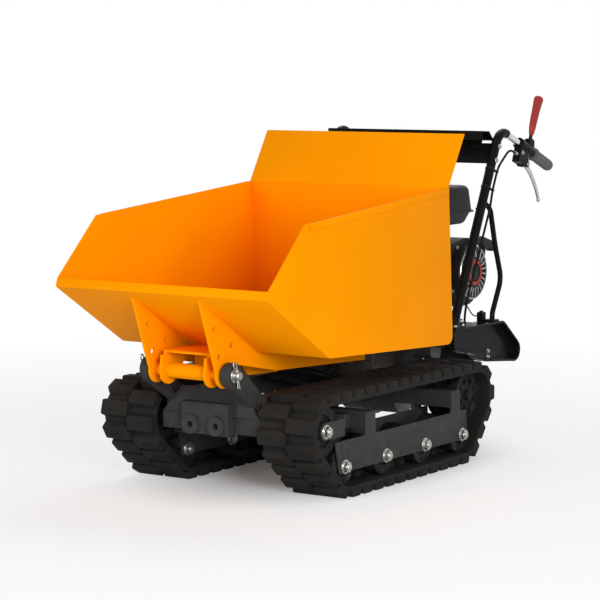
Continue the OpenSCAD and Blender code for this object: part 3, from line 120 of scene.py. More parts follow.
# %% Wire, Graph and Finish
class Wire:
    """One output socket of a graph."""

    def __init__(self, graph, socket):
        self.graph, self.socket = graph, socket

    def maths(self, operation, first, second):
        return self.graph.node("ShaderNodeMath", {0: first, 1: second}, operation=operation)

    def __add__(self, other):
        return self.maths("ADD", self, other)

    __radd__ = __add__

    def __rsub__(self, other):
        return self.maths("SUBTRACT", other, self)

    def __mul__(self, other):
        return self.maths("MULTIPLY", self, other)


class Graph:
    """The nodes of a material or of the sky."""

    def __init__(self, owner):
        owner.use_nodes = True
        self.tree = owner.node_tree

    def node(self, kind, inputs=None, out=0, stops=None, **settings):
        """Makes a node: its settings first, then the values or wires of its sockets."""
        made = self.tree.nodes.new(kind)
        for key, value in settings.items():
            setattr(made, key, value)
        if stops:
            for spare in list(made.color_ramp.elements)[1:]:
                made.color_ramp.elements.remove(spare)
            for i, (at, value) in enumerate(stops):
                mark = made.color_ramp.elements[0] if i == 0 else made.color_ramp.elements.new(at)
                mark.position, mark.color = at, (value, value, value, 1)
        for key, value in (inputs or {}).items():
            self.plug(made.inputs[key], value)
        return Wire(self, made.outputs[out])

    def plug(self, socket, value):
        if isinstance(value, Wire):
            self.tree.links.new(value.socket, socket)
        else:
            socket.default_value = value


class Finish(Graph):
    """One material, with its Principled shader and the object's own coordinates."""

    def __init__(self, name):
        self.material = bpy.data.materials.new(name)
        super().__init__(self.material)
        self.shader = self.tree.nodes["Principled BSDF"]
        self.place = self.node("ShaderNodeTexCoord", out="Object")

    def wear(self, **sockets):
        """Sets sockets of the shader by name, with _ for a space."""
        for key, value in sockets.items():
            self.plug(self.shader.inputs[key.replace("_", " ")], value)

    def noise(self, scale, detail, rough=0.5):
        sockets = {"Vector": self.place, "Scale": scale, "Detail": detail, "Roughness": rough}
        return self.node("ShaderNodeTexNoise", sockets)

    def ramp(self, value, *stops):
        return self.node("ShaderNodeValToRGB", {"Fac": value}, stops=stops)

    def mix(self, factor, first, second):
        colours = {"Factor": factor, 6: first, 7: second}
        return self.node("ShaderNodeMix", colours, out=2, data_type="RGBA")

    def bump(self, height, strength, depth):
        sockets = {"Height": height, "Strength": strength, "Distance": depth}
        self.wear(Normal=self.node("ShaderNodeBump", sockets))

    def edges(self, radius):
        """1 on edges and corners, 0 on flat faces: the rounded normal leaves the true one there."""
        soft = self.node("ShaderNodeBevel", {"Radius": radius}, samples=4)
        true = self.node("ShaderNodeNewGeometry", out="Normal")
        along = self.node("ShaderNodeVectorMath", {0: soft, 1: true}, out="Value", operation="DOT_PRODUCT")
        return self.ramp(1 - along, (0.0, 0.0), (0.25, 1.0))


def rgb(code):
    """A colour written as six hex digits, made linear for the shader."""
    parts = [int(code[i:i + 2], 16) / 255 for i in (0, 2, 4)]
    return (*[c / 12.92 if c <= 0.04045 else ((c + 0.055) / 1.055) ** 2.4 for c in parts], 1)


print("shader classes ready")

# %% [markdown]
# ## Floor, sky and lamps
# The floor is a round sheet of paper. Close to the machine it takes the shadow, and further out it fades into
# the white sky, so no horizon line shows. To the camera most of its light is its own white, which keeps the
# page white without more lamps on the machine. Between the tracks that own light fades, and the shadow stays.

# %% Studio
floor_mesh = bmesh.new()
bmesh.ops.create_circle(floor_mesh, cap_ends=True, segments=64, radius=9)
studio = bpy.data.meshes.new("studio_floor")
floor_mesh.to_mesh(studio)
floor_mesh.free()
floor = bpy.data.objects.new("studio_floor", studio)
scene.collection.objects.link(floor)
floor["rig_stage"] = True
paper = Finish("studio_paper")
paper.wear(Base_Color=paper.mix(paper.noise(40, 3), rgb("f0f0ef"), rgb("f8f8f7")), Roughness=0.9)
glow = paper.node("ShaderNodeEmission", {"Strength": 1.0})
clear = paper.node("ShaderNodeBsdfTransparent")
to_camera = paper.node("ShaderNodeLightPath", out="Is Camera Ray")
MACHINE_SHAPE = (1, 0.55, 1)
away = paper.node("ShaderNodeVectorMath", {0: paper.place}, out="Value", operation="LENGTH")
far = paper.ramp(away * 0.2, (0.24, 0.0), (0.62, 1.0))
below = paper.node("ShaderNodeVectorMath", {0: paper.place, 1: MACHINE_SHAPE}, operation="MULTIPLY")
below = paper.node("ShaderNodeVectorMath", {0: below}, out="Value", operation="LENGTH")
own_light = paper.ramp(below, (0.2, 0.05), (0.46, 0.62))
lit = Wire(paper, paper.shader.outputs[0])
white = paper.node("ShaderNodeMixShader", {0: to_camera * own_light, 1: lit, 2: glow})
sheet = paper.node("ShaderNodeMixShader", {0: far, 1: white, 2: clear})
paper.plug(paper.tree.nodes["Material Output"].inputs["Surface"], sheet)
studio.materials.append(paper.material)

ROOM = 0.40
world = bpy.data.worlds.new("studio_sky")
scene.world = world
sky = Graph(world)
shown = sky.node("ShaderNodeLightPath", out="Is Camera Ray")
for kind in ("Is Glossy Ray", "Is Transmission Ray"):
    ray = sky.node("ShaderNodeLightPath", out=kind)
    shown = sky.node("ShaderNodeMath", {0: shown, 1: ray}, operation="MAXIMUM")
background = sky.tree.nodes["Background"].inputs
sky.plug(background["Strength"], shown * (1 - ROOM) + ROOM)
sky.plug(background["Color"], (1, 1, 1, 1))


def lamp(name, at, target, size, watts):
    light = bpy.data.lights.new(name, "AREA")
    light.shape, light.size, light.energy = "DISK", size, watts
    stand = bpy.data.objects.new(name, light)
    scene.collection.objects.link(stand)
    stand.location = at
    stand.rotation_euler = (Vector(target) - Vector(at)).to_track_quat("-Z", "Y").to_euler()


lamp("key_lamp", (5.0, -4.2, 1.8), (0, -0.1, 0.4), 2.6, 250)
lamp("front_lamp", (-1.6, -6.0, 1.7), (0, -0.3, 0.4), 2.6, 88)
lamp("top_lamp", (-0.6, 2.2, 4.6), (0, 0.1, 0.6), 2.8, 80)
print("studio with three lamps")

# %% [markdown]
# ## Paints
# The skip, the chassis and the tubes are powder coated: plastic dust, baked into a skin with a fine orange
# peel. A flat colour would look like paper, so a slow cloud shifts the tone, a fine noise dents the skin, and
# the edges are paler, partly as thinner paint and partly as a painted highlight. Dust lies on the paint near
# the ground.

# %% Powder coats
def shade(colour, factor):
    return (*[c * factor for c in colour[:3]], 1)


PALE_EDGE_AND_HIGHLIGHT_SHARE = 0.45


def powder_coat(name, colour, thin_paint_and_highlight_colour, rough, shine, dust=0.0, peel=0.10):
    coat = Finish(name)
    coat.wear(Specular_IOR_Level=shine)
    cloud = coat.ramp(coat.noise(2.6, 4), (0.35, 0.0), (0.65, 1.0))
    tone = coat.mix(cloud, shade(colour, 0.95), shade(colour, 1.03))
    # Paler edges: partly thinner paint, partly a painted highlight standing in for light caught along the
    # edges.
    tone = coat.mix(coat.edges(0.0018) * PALE_EDGE_AND_HIGHLIGHT_SHARE, tone, thin_paint_and_highlight_colour)
    marks = coat.ramp(coat.noise(30, 6, 0.7), (0.50, 0.0), (0.78, 1.0))
    if dust:
        height = coat.node("ShaderNodeSeparateXYZ", {"Vector": coat.place}, out="Z")
        low = coat.ramp(height * 2.5, (0.1, 1.0), (0.9, 0.05))
        tone = coat.mix(low * marks * dust, tone, rgb("8d857b"))
    coat.wear(Base_Color=tone, Roughness=rough + marks * 0.12)
    coat.bump(coat.noise(480, 2), peel, 0.0005)
    return coat.material


# The second colour of each coat is its edge colour: partly thinner paint, partly a painted highlight.
finishes = {
    "skip_paint": powder_coat("orange_coat", rgb("ff9a00"), rgb("ffab14"), 0.4, 0.01),
    "chassis_paint": powder_coat("grey_coat", rgb("393a3a"), rgb("6c6d6e"), 0.42, 0.05, dust=0.2),
    "wheel_steel": powder_coat("wheel_coat", rgb("1a1a1c"), rgb("434345"), 0.48, 0.08, dust=0.3),
    "black_paint": powder_coat("black_coat", rgb("131414"), rgb("5a5b5d"), 0.25, 0.05, dust=0.1),
    "muffler_steel": powder_coat("heat_coat", rgb("2f2b28"), rgb("6b5a4a"), 0.55, 0.2, peel=0.3),
}
print("powder coats:", ", ".join(sorted(finishes)))

# %% [markdown]
# ## Metals
# Zinc plating is a bright grey with a cloudy bloom. Chrome is the same shader with almost no roughness and
# only faint smears. The cast alloy of the engine keeps the grain of its sand mould.

# %% Zinc, chrome, castings
def metal(name, colour, bloom_colour, rough, spread, grain=None, metallic=1.0):
    plate = Finish(name)
    bloom = plate.ramp(plate.noise(55, 5, 0.65), (0.35, 0.0), (0.7, 1.0))
    fine = plate.noise(700, 2)
    plate.wear(Base_Color=plate.mix(bloom, colour, bloom_colour), Metallic=metallic,
               Roughness=rough + bloom * spread + fine * spread * 0.5)
    if grain:
        plate.bump(plate.noise(grain, 3), 0.35, 0.0006)
    return plate.material


finishes["zinc"] = metal("zinc_plate", rgb("c9c9c4"), rgb("a9aaa8"), 0.22, 0.18)
finishes["chrome"] = metal("bright_plate", rgb("d9dadc"), rgb("cfd0d2"), 0.07, 0.06)
finishes["cast_alloy"] = metal("cast_alloy", rgb("7d7d7c"), rgb("727271"), 0.46, 0.12, 420, 0.8)
finishes["pulley_steel"] = metal("turned_steel", rgb("a5a5a3"), rgb("8f8f8d"), 0.28, 0.15)
print("metals ready")

# %% [markdown]
# ## Rubber and plastic
# Track rubber is never pure black: it blooms to a warm grey, and dust sits in its pores. Moulded plastic has
# a leather-fine grain that breaks up its shine.

# %% Rubber and moulded plastic
def rubber(name, colour, dust_colour, dusty, grain):
    skin = Finish(name)
    patch = skin.ramp(skin.noise(9, 6, 0.65), (0.38, 0.0), (0.72, 1.0))
    pores = skin.noise(520, 3)
    rubbed = skin.edges(0.003)
    tone = skin.mix(patch * dusty, colour, dust_colour)
    tone = skin.mix(rubbed * 0.35, tone, dust_colour)
    skin.wear(Base_Color=tone, Roughness=0.62 + patch * 0.2, Specular_IOR_Level=0.08)
    skin.bump(pores + patch * 0.6, grain, 0.0008)
    return skin.material


def moulded(name, colour, rough, grain=1100):
    shell = Finish(name)
    shell.wear(Specular_IOR_Level=0.12)
    haze = shell.ramp(shell.noise(14, 4), (0.3, 0.0), (0.75, 1.0))
    tone = shell.mix(haze, shade(colour, 0.9), shade(colour, 1.15))
    shell.wear(Base_Color=tone, Roughness=rough + haze * 0.14)
    shell.bump(shell.noise(grain, 2), 0.16, 0.0004)
    return shell.material


finishes["track_rubber"] = rubber("track_rubber", rgb("201f1d"), rgb("343230"), 0.5, 0.3)
finishes["hose_rubber"] = rubber("hose_rubber", rgb("151515"), rgb("2d2c2b"), 0.4, 0.15)
finishes["grip_rubber"] = rubber("grip_rubber", rgb("646466"), rgb("7e7e7f"), 0.35, 0.2)
finishes["black_plastic"] = moulded("black_plastic", rgb("18181a"), 0.38)
finishes["grey_plastic"] = moulded("grey_plastic", rgb("2a2a2c"), 0.42)
finishes["lever_red"] = moulded("red_dip", rgb("a03733"), 0.3, 300)
print(len(finishes), "finishes")

# %% [markdown]
# ## Softened copies
# A CAD solid has knife edges, which catch no light. A copy of its mesh is merged, its flat triangles are
# joined back into faces, and a small bevel rounds every edge. The copy stands for the CAD node and rides on
# the same body, so nothing moves out of place.

# %% One helper for every piece, one for copies
def face_out(shape, faces):
    """Points faces outwards. New faces have no normals yet, so these are worked out first and again after."""
    shape.normal_update()
    bmesh.ops.recalc_face_normals(shape, faces=faces)
    shape.normal_update()


def round_off(shape, geom, width, steps=2, affect="EDGES"):
    """Rounds edges, or cuts back corners where affect says VERTICES."""
    bmesh.ops.bevel(shape, geom=geom, offset=width, segments=steps, profile=0.5, affect=affect, material=-1)


def finish_piece(piece, body, slot, stands_for=(), smooth_angle=35):
    """Links a new object to the scene and its body, and gives it the finish of its slot."""
    scene.collection.objects.link(piece)
    piece.data.materials.append(finishes[slot])
    if piece.type == "MESH":
        piece.data.shade_smooth()
        piece.data.set_sharp_from_angle(angle=math.radians(smooth_angle))
    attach(piece, body)
    if stands_for:
        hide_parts(*stands_for)
    return piece


def softened(node, slot, width):
    """A copy of a CAD node whose edges are rounded by a width in millimetres."""
    shape = bmesh.new()
    shape.from_mesh(nodes[node].data)
    bmesh.ops.remove_doubles(shape, verts=shape.verts, dist=2e-6)
    flat = math.radians(0.4)
    bmesh.ops.dissolve_limit(shape, angle_limit=flat, verts=shape.verts, edges=shape.edges)
    mesh = bpy.data.meshes.new(node + "_soft")
    shape.to_mesh(mesh)
    shape.free()
    piece = bpy.data.objects.new(node + "_soft", mesh)
    round_edges = piece.modifiers.new("rounded_edges", "BEVEL")
    round_edges.width, round_edges.segments = width * MM, 2
    round_edges.limit_method, round_edges.angle_limit = "ANGLE", math.radians(38)
    round_edges.use_clamp_overlap = False
    round_edges.harden_normals = True
    return finish_piece(piece, nodes[node]["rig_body"], slot, (node,))


def mm_piece(name, shape, slot, stands_for=(), smooth_angle=30, body="chassis"):
    """Turns a bmesh drawn in millimetres into a piece."""
    bmesh.ops.scale(shape, vec=(MM, MM, MM), verts=shape.verts)
    mesh = bpy.data.meshes.new(name)
    shape.to_mesh(mesh)
    shape.free()
    return finish_piece(bpy.data.objects.new(name, mesh), body, slot, stands_for, smooth_angle)


SIDES = ((1, "left"), (-1, "right"))
wheels = [f"{kind}_{name}" for _, name in SIDES for kind in ("sprocket", "idler")]
wheels += [f"roller_{name}_{i}" for _, name in SIDES for i in range(1, 5)]
SOFT_COPIES = {
    "chassis_paint": {"chassis_frame": 1.6, "front_box": 1.4, "idler_forks": 0.8, "engine_rails": 1.0},
    "wheel_steel": dict.fromkeys(wheels, 1.0),
    "chrome": {"handlebars": 0.8, "ram_rod": 0.8},
    "black_paint": {"rear_guards": 1.2, "handle_tubes": 0.8, "console": 0.8, "cross_panel": 0.8,
                    "belt_guard": 0.9, "lever_perches": 0.6, "ram_barrel": 0.9, "gear_lever": 0.6,
                    "valve_lever": 0.6},
    "black_plastic": {"air_cleaner": 1.2, "fan_housing": 1.2, "fuel_cap": 0.8,
                      "recoil_grip": 1.0, "hydraulic_tank": 1.5},
    "grey_plastic": {"recoil_cover": 0.8},
    "hose_rubber": {"drive_belt": 0.8},
    "cast_alloy": {"engine_block": 0.7, "gearbox": 1.2, "hydraulic_pump": 0.8, "valve_block": 0.8},
    "pulley_steel": {"engine_pulley": 0.7, "gearbox_pulley": 0.7},
    "muffler_steel": {"muffler": 1.2},
    "skip_paint": {"skip_brackets": 1.0},
}
for slot, group in SOFT_COPIES.items():
    for node, width in group.items():
        softened(node, slot, width)
print(sum(map(len, SOFT_COPIES.values())), "softened copies")

# %% [markdown]
# ## The lines of the handles
# Many pieces hang on the handle tubes, so the tube's foot, its lean and the handlebar's slope are worked
# out once. `by_tube` gives a point beside the left tube, and `by_bar` one beside the left handlebar, in
# millimetres.

# %% Handle lines
LEAN, DROP = math.radians(25.5), math.radians(21)
HANDLE_X, TUBE_R, TUBE_LEN, TUBE_BEND, FOOT_T, GUARD_TOP = 290, 14, 592, 50, 8, 396
tube_up = Vector((0, math.sin(LEAN), math.cos(LEAN)))
tube_back = Vector((0, math.cos(LEAN), -math.sin(LEAN)))
bar_along = Vector((0, math.cos(DROP), -math.sin(DROP)))
bar_up = Vector((0, math.sin(DROP), math.cos(DROP)))
tube_foot = Vector((HANDLE_X, 229, GUARD_TOP + FOOT_T))
bar_start = tube_foot + TUBE_LEN * tube_up + TUBE_BEND * tube_back + TUBE_BEND * bar_up


def by_tube(along, behind, out=0):
    return tube_foot + along * tube_up + behind * tube_back + Vector((out, 0, 0))


def by_bar(along, above, out=0):
    return bar_start + along * bar_along + above * bar_up + Vector((out, 0, 0))


print("handlebar starts at", [round(c) for c in bar_start], "mm")

# %% [markdown]
# ## Bent rods, hoses and the cable
# A bent rod is a line with eased corners and a round section. A curve object with a bevel depth is the
# simplest tool for it: the section follows the line by itself, and the line stays a measured length.

# %% Pipes along a line
BEND_STEPS = 10


def eased(points, reach):
    """The line through points, with its corners eased over a length of up to reach."""
    line = [points[0]]
    for before, corner, after in zip(points, points[1:], points[2:]):
        back, on = before - corner, after - corner
        d = min(reach, 0.48 * back.length, 0.48 * on.length)
        for k in range(BEND_STEPS + 1):
            t = k / BEND_STEPS
            line.append(corner + d * (back.normalized() * (1 - t) ** 2 + on.normalized() * t ** 2))
    return line + [points[-1]]


def round_wire(name, line, radius, resolution):
    """A curve object with a round section along a line in metres, and its points."""
    curve = bpy.data.curves.new(name, "CURVE")
    curve.dimensions = "3D"
    curve.bevel_depth, curve.bevel_resolution, curve.use_fill_caps = radius * MM, resolution, True
    spline = curve.splines.new("POLY")
    spline.points.add(len(line) - 1)
    for point, place in zip(spline.points, line):
        point.co = (*place, 1)
    return bpy.data.objects.new(name, curve), spline.points


def pipe(name, points, radius, slot, stands_for=(), reach=30, side=1):
    line = [Vector((side * p.x, p.y, p.z)) * MM for p in eased([Vector(p) for p in points], reach)]
    piece, _ = round_wire(name, line, radius, 5)
    return finish_piece(piece, "chassis", slot, stands_for), line


def line_length(line):
    return sum((b - a).length for a, b in zip(line, line[1:]))


OIL_PORT, PUMP_X, PUMP_Y, PUMP_Z = 578, 135, 330, 312
suction = [(-182, 262, 390), (-168, 262, 390), (-166, 256, 352), (-100, 252, 350), (100, 252, 350),
           (128, 264, 356), (PUMP_X, 292, 378), (PUMP_X, 318, 386), (PUMP_X, PUMP_Y, 374),
           (PUMP_X, PUMP_Y, PUMP_Z + 42)]
pressure = [(-200, 236, OIL_PORT), (-176, 236, OIL_PORT), (-166, 190, OIL_PORT - 60), (-164, 172, 400),
            (-90, 160, 300), (-56, 120, 262), (-62, 80, 240), (-60, 49.6, 228), (-40.5, 49.6, 228)]
cable = [by_bar(88, -34), by_bar(70, -35), by_bar(42, -38, 4), by_bar(16, -52, 8), by_tube(520, 21, 13),
         by_tube(440, 21, 13), by_tube(392, 30, 13), by_tube(240, 26, 13), by_tube(90, 22, 13),
         (HANDLE_X + 13, 274, 434), (HANDLE_X + 13, 274, GUARD_TOP)]
CORDS = {
    "suction_hose": (suction, 8, "hydraulic_hoses", 30),
    "pressure_hose": (pressure, 8, "hydraulic_hoses", 30),
    "throttle_cable": (cable, 3.5, "control_cable", 24),
}
for name, (points, radius, node, reach) in CORDS.items():
    cord, line = pipe(name, points, radius, "hose_rubber", (node,), reach)
    length = line_length(line)
    2 * radius * MM
    print(name, round(length, 3), "m long,", 2 * radius, "mm thick")

# %% Stays and the drive rod
stay = [by_tube(400, TUBE_R), by_tube(400, TUBE_R + 16), (HANDLE_X, 450, 738), (HANDLE_X, 482, 627),
        (HANDLE_X, 523, 522), (HANDLE_X, 468, GUARD_TOP + 24), (HANDLE_X, 468, GUARD_TOP + 3)]
for side, name in SIDES:
    pipe(f"stay_{name}", stay, 8, "black_paint", ("rear_stays",), side=side)
ROD_X, SPRING_Y, SPRING_LOW, SPRING_TOP = 273, 287, 414, 474
rod = [by_tube(376, 0, -TUBE_R - 3), by_tube(376, 20, -TUBE_R - 3), (ROD_X, SPRING_Y, 500),
       (ROD_X, SPRING_Y, 476)]
link = [(ROD_X, SPRING_Y + 9, 475.5), (ROD_X, SPRING_Y + 29, 475.5), (ROD_X, 378, GUARD_TOP + 22),
        (ROD_X, 420, GUARD_TOP + 20)]
pipe("drive_rod_wire", rod, 3, "zinc", ("drive_rod",))
pipe("spring_link", link, 2, "black_paint", ("drive_rod",))
print("stays and rod in place")


# %% [markdown]
# ## Plates, seats and the return spring
# Small plates are cubes whose edges are bevelled. The spring is one circle of wire that a spin lifts at every
# step, which is how a coiling machine makes it.

# %% Small solids
def add_block(shape, low, high, bevel, segments=2, place=None):
    """A box between two corners with rounded edges, in millimetres, which a matrix can move into place."""
    known = set(shape.verts)
    low, high = Vector(low), Vector(high)
    box = Matrix.Translation((low + high) / 2) @ Matrix.Diagonal((*(high - low), 1))
    corners = bmesh.ops.create_cube(shape, size=1, matrix=box)["verts"]
    if bevel:
        edges = list({e for v in corners for e in v.link_edges})
        round_off(shape, edges, bevel, segments)
    if place:
        bmesh.ops.transform(shape, matrix=place, verts=[v for v in shape.verts if v not in known])


def bar_line(r, length, soft):
    """The outline of a round bar with its ends cut back."""
    return [(0, 0), (r - soft, 0), (r, soft), (r, length - soft), (r - soft, length), (0, length)]


def add_turned(shape, profile, place, steps=32):
    """A turned solid: (radius, height) points of its outline, spun about +Z, then placed by a matrix."""
    ring = [shape.verts.new((r, 0, h)) for r, h in profile]
    lines = [shape.edges.new(pair) for pair in zip(ring, ring[1:])]
    known = set(shape.verts) - set(ring)
    bmesh.ops.spin(shape, geom=ring + lines, cent=(0, 0, 0), axis=(0, 0, 1), angle=math.tau, steps=steps,
                   use_merge=True)
    fresh = [v for v in shape.verts if v not in known]
    bmesh.ops.remove_doubles(shape, verts=fresh, dist=1e-4)
    fresh = [v for v in shape.verts if v not in known]
    face_out(shape, list({f for v in fresh for f in v.link_faces}))
    bmesh.ops.transform(shape, matrix=place, verts=fresh)


seats = bmesh.new()
for low in (SPRING_LOW - 3, SPRING_TOP):
    add_turned(seats, bar_line(9, 3, 0.6), Matrix.Translation((ROD_X, SPRING_Y, low)), 24)
add_turned(seats, [(0, 0), (3, 0), (3, 15), (0, 15)], Matrix.Translation((ROD_X, SPRING_Y, GUARD_TOP)), 16)
mm_piece("rod_seats", seats, "zinc", ("drive_rod",), 35)
clamp = bmesh.new()
add_block(clamp, (ROD_X - 10, 418, GUARD_TOP), (ROD_X + 10, 442, GUARD_TOP + 30), 2.5, 3)
add_turned(clamp, [(0, 0), (6, 0), (6, 4), (5, 5), (0, 5)],
           Matrix.Translation((ROD_X, 430, GUARD_TOP + 29)), 20)
mm_piece("rod_clamp", clamp, "black_paint", ("drive_rod",), 35)

feet = bmesh.new()
for side in (1, -1):
    add_block(feet, (side * HANDLE_X - 18, 444, GUARD_TOP), (side * HANDLE_X + 18, 480, GUARD_TOP + 6), 1.2)
mm_piece("stay_feet", feet, "black_paint", ("rear_stays",), 35)

CURLS, CURL_STEPS, COIL_R, WIRE_R = 20, 20, 7, 1
spring = bmesh.new()
upright = Matrix.Translation((COIL_R, 0, 0)) @ Matrix.Rotation(math.pi / 2, 4, "X")
bmesh.ops.create_circle(spring, segments=8, radius=WIRE_R, cap_ends=True, matrix=upright)
rise = (SPRING_TOP - SPRING_LOW - 2 * WIRE_R) / CURLS
bmesh.ops.spin(spring, geom=list(spring.verts) + list(spring.edges) + list(spring.faces), cent=(0, 0, 0),
               axis=(0, 0, 1), dvec=(0, 0, rise / CURL_STEPS), angle=CURLS * math.tau,
               steps=CURLS * CURL_STEPS)
bmesh.ops.remove_doubles(spring, verts=spring.verts, dist=1e-4)
face_out(spring, spring.faces)
bmesh.ops.translate(spring, vec=(ROD_X, SPRING_Y, SPRING_LOW + WIRE_R), verts=spring.verts)
mm_piece("return_spring_wire", spring, "zinc", ("return_spring",), 35)
print("spring of", CURLS, "curls")

# %% [markdown]
# ## Track belts
# A track is one endless rubber belt with steel cores: a flat carcass, two staggered rows of tread lugs
# outside and a row of drive lugs inside. It could be bent by a curve modifier, but then the lugs would
# shear in the bends. Here the section is pushed along the four straight runs and spun round the four
# wheels, and every lug is set square to the belt, as in the mould.

# %% The belt's path
BELT_T, BELT_IN, BELT_W, LUG_H, LUG_PITCH = 12, 176, 180, 20, 60
WHEEL_R = 8 * LUG_PITCH / math.tau - BELT_T / 2
ROLLER_R = 54


def axle_of(node):
    """The (y, z) of a wheel's axle in millimetres, from the middle of its CAD box."""
    low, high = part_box(node)
    return ((low + high) / 2 / MM).yz


ROLLERS = [axle_of(f"roller_left_{i}") for i in range(1, 5)]
IDLER, SPROCKET = axle_of("idler_left"), axle_of("sprocket_left")
WHEELS = [Vector((*ROLLERS[0], ROLLER_R)), Vector((*ROLLERS[3], ROLLER_R)), Vector((*SPROCKET, WHEEL_R)),
          Vector((*IDLER, WHEEL_R))]


def run(i):
    """The straight run from wheel i to the next: its outward angle, its length, and the turn after it."""
    a, b, c = (WHEELS[(i + k) % 4] for k in range(3))

    def outward(p, q):
        d = q.xy - p.xy
        share = (p.z - q.z) / d.length
        return math.atan2(d.y, d.x) - math.acos(share)

    n = outward(a, b)
    length = math.sqrt((b.xy - a.xy).length_squared - (a.z - b.z) ** 2)
    return n, length, (outward(b, c) - n) % math.tau


RUNS = [run(i) for i in range(4)]
NEUTRAL = BELT_T / 2
BELT_LEN = sum(length + turn * (WHEELS[(i + 1) % 4].z + NEUTRAL) for i, (n, length, turn) in enumerate(RUNS))
LUGS = round(BELT_LEN / LUG_PITCH)


def on_belt(s):
    """Matrix at length s of the neutral line: X across the belt, Y along it, Z outwards."""
    s %= BELT_LEN
    for i, (n, length, turn) in enumerate(RUNS):
        a, b = WHEELS[i], WHEELS[(i + 1) % 4]
        if s <= length:
            y = a.x + (a.z + NEUTRAL) * math.cos(n) - s * math.sin(n)
            z = a.y + (a.z + NEUTRAL) * math.sin(n) + s * math.cos(n)
            break
        s -= length
        r = b.z + NEUTRAL
        if s <= r * turn:
            n += s / r
            y, z = b.x + r * math.cos(n), b.y + r * math.sin(n)
            break
        s -= r * turn
    return Matrix.Translation((0, y, z)) @ Matrix.Rotation(n - math.pi / 2, 4, "X")


# The first lug stands at the sprocket's rearmost point, where the outward angle is 0.
(_, ground, roller_turn), (angle, climb, _) = RUNS[:2]
first_lug = ground + roller_turn * (ROLLER_R + NEUTRAL) + climb - angle * (WHEEL_R + NEUTRAL)
print("belt", round(BELT_LEN), "mm round,", LUGS, "lugs a row")


# %% Carcass, tread lugs and drive lugs
def only(kind, geom):
    return [part for part in geom if isinstance(part, kind)]


def push(shape, loop, by):
    """Pushes a line sideways into a strip, and gives the line's new place."""
    made = bmesh.ops.extrude_edge_only(shape, edges=loop)["geom"]
    fresh = only(bmesh.types.BMVert, made)
    bmesh.ops.translate(shape, vec=by, verts=fresh)
    return [e for e in only(bmesh.types.BMEdge, made) if set(fresh).issuperset(e.verts)]


def add_carcass(shape):
    bottom = WHEELS[0].y - WHEELS[0].z
    low, high = bottom - BELT_T, bottom
    x0, x1, soft = BELT_IN, BELT_IN + BELT_W, 3
    outline = [(x0 + soft, low), (x1 - soft, low), (x1, low + soft), (x1, high - soft), (x1 - soft, high),
               (x0 + soft, high), (x0, high - soft), (x0, low + soft)]
    ring = [shape.verts.new((x, WHEELS[0].x, z)) for x, z in outline]
    loop = [shape.edges.new((a, b)) for a, b in zip(ring, ring[1:] + ring[:1])]
    for i, (n, length, turn) in enumerate(RUNS):
        loop = push(shape, loop, (0, -length * math.sin(n), length * math.cos(n)))
        wheel = WHEELS[(i + 1) % 4]
        made = bmesh.ops.spin(shape, geom=loop, cent=(0, wheel.x, wheel.y), axis=(1, 0, 0), angle=turn,
                              steps=math.ceil(turn / math.radians(5)))["geom_last"]
        loop = only(bmesh.types.BMEdge, made)
    bmesh.ops.remove_doubles(shape, verts=shape.verts, dist=0.01)
    face_out(shape, shape.faces)


RIB_W, RIB_L, RIB_H, RIB_STEP = 2.6, 16, 1, 6


def lug_mesh(name, x0, x1, base, tip, low, high, bevel, ribs=0):
    """A tapered rubber block: base and tip along the belt, low and high from the neutral line."""
    block = bmesh.new()
    place = Matrix.Translation(((x0 + x1) / 2, 0, (low + high) / 2))
    place = place @ Matrix.Diagonal((x1 - x0, base, abs(high - low), 1))
    bmesh.ops.create_cube(block, size=1, matrix=place)
    far = [v for v in block.verts if abs(v.co.z - high) < 0.1]
    bmesh.ops.scale(block, vec=(1, tip / base, 1), verts=far)
    edges = [e for e in block.edges if any(v in far for v in e.verts)]
    round_off(block, edges, bevel, 3)
    for i in range(ribs):
        x = (x0 + x1) / 2 + (i - (ribs - 1) / 2) * RIB_STEP
        add_block(block, (x - RIB_W / 2, -RIB_L / 2, high - 1), (x + RIB_W / 2, RIB_L / 2, high + RIB_H), 0)
    mesh = bpy.data.meshes.new(name)
    block.to_mesh(mesh)
    block.free()
    return mesh


BELT_MID = BELT_IN + BELT_W / 2
LUG_BASE, LUG_TIP, LUG_TOP = 50, 42, NEUTRAL + LUG_H - RIB_H
outer_lug = lug_mesh("outer_lug", BELT_MID, BELT_IN + BELT_W, LUG_BASE, LUG_TIP, NEUTRAL - 2, LUG_TOP, 5, 5)
inner_lug = lug_mesh("inner_lug", BELT_IN, BELT_MID, LUG_BASE, LUG_TIP, NEUTRAL - 2, LUG_TOP, 5, 5)
drive_lug = lug_mesh("drive_lug", BELT_MID - 20, BELT_MID + 20, 24, 16, -NEUTRAL + 2, -NEUTRAL - 18, 3)
for side, name in SIDES:
    belt = bmesh.new()
    add_carcass(belt)
    for lug, shift in ((outer_lug, 0), (inner_lug, 0.5), (drive_lug, 0)):
        for i in range(LUGS):
            placed = lug.copy()
            placed.transform(on_belt(first_lug + (i + shift) * BELT_LEN / LUGS))
            belt.from_mesh(placed)
            bpy.data.meshes.remove(placed)
    if side < 0:
        bmesh.ops.scale(belt, vec=(-1, 1, 1), verts=belt.verts)
        bmesh.ops.reverse_faces(belt, faces=belt.faces)
    print("belt", name, len(belt.faces), "faces")
    mm_piece(f"track_{name}", belt, "track_rubber", (f"track_belt_{name}",), 40)

# %% [markdown]
# ## Bolts, nuts and washers
# The roller axles end in zinc nuts on broad washers, which are the brightest points of the running gear. A
# plain six-sided prism looks like a toy, so the corners of each nut are cut back, a spring washer lies
# below it, and the bolt's end stands out with its chamfer.

# %% Fastener helpers
def facing(at, direction, turn=0.0):
    """Matrix that stands a piece drawn along +Z at a point, looking in a direction."""
    look = Vector(direction).to_track_quat("Z", "Y").to_matrix().to_4x4()
    return Matrix.Translation(Vector(at)) @ look @ Matrix.Rotation(turn, 4, "Z")


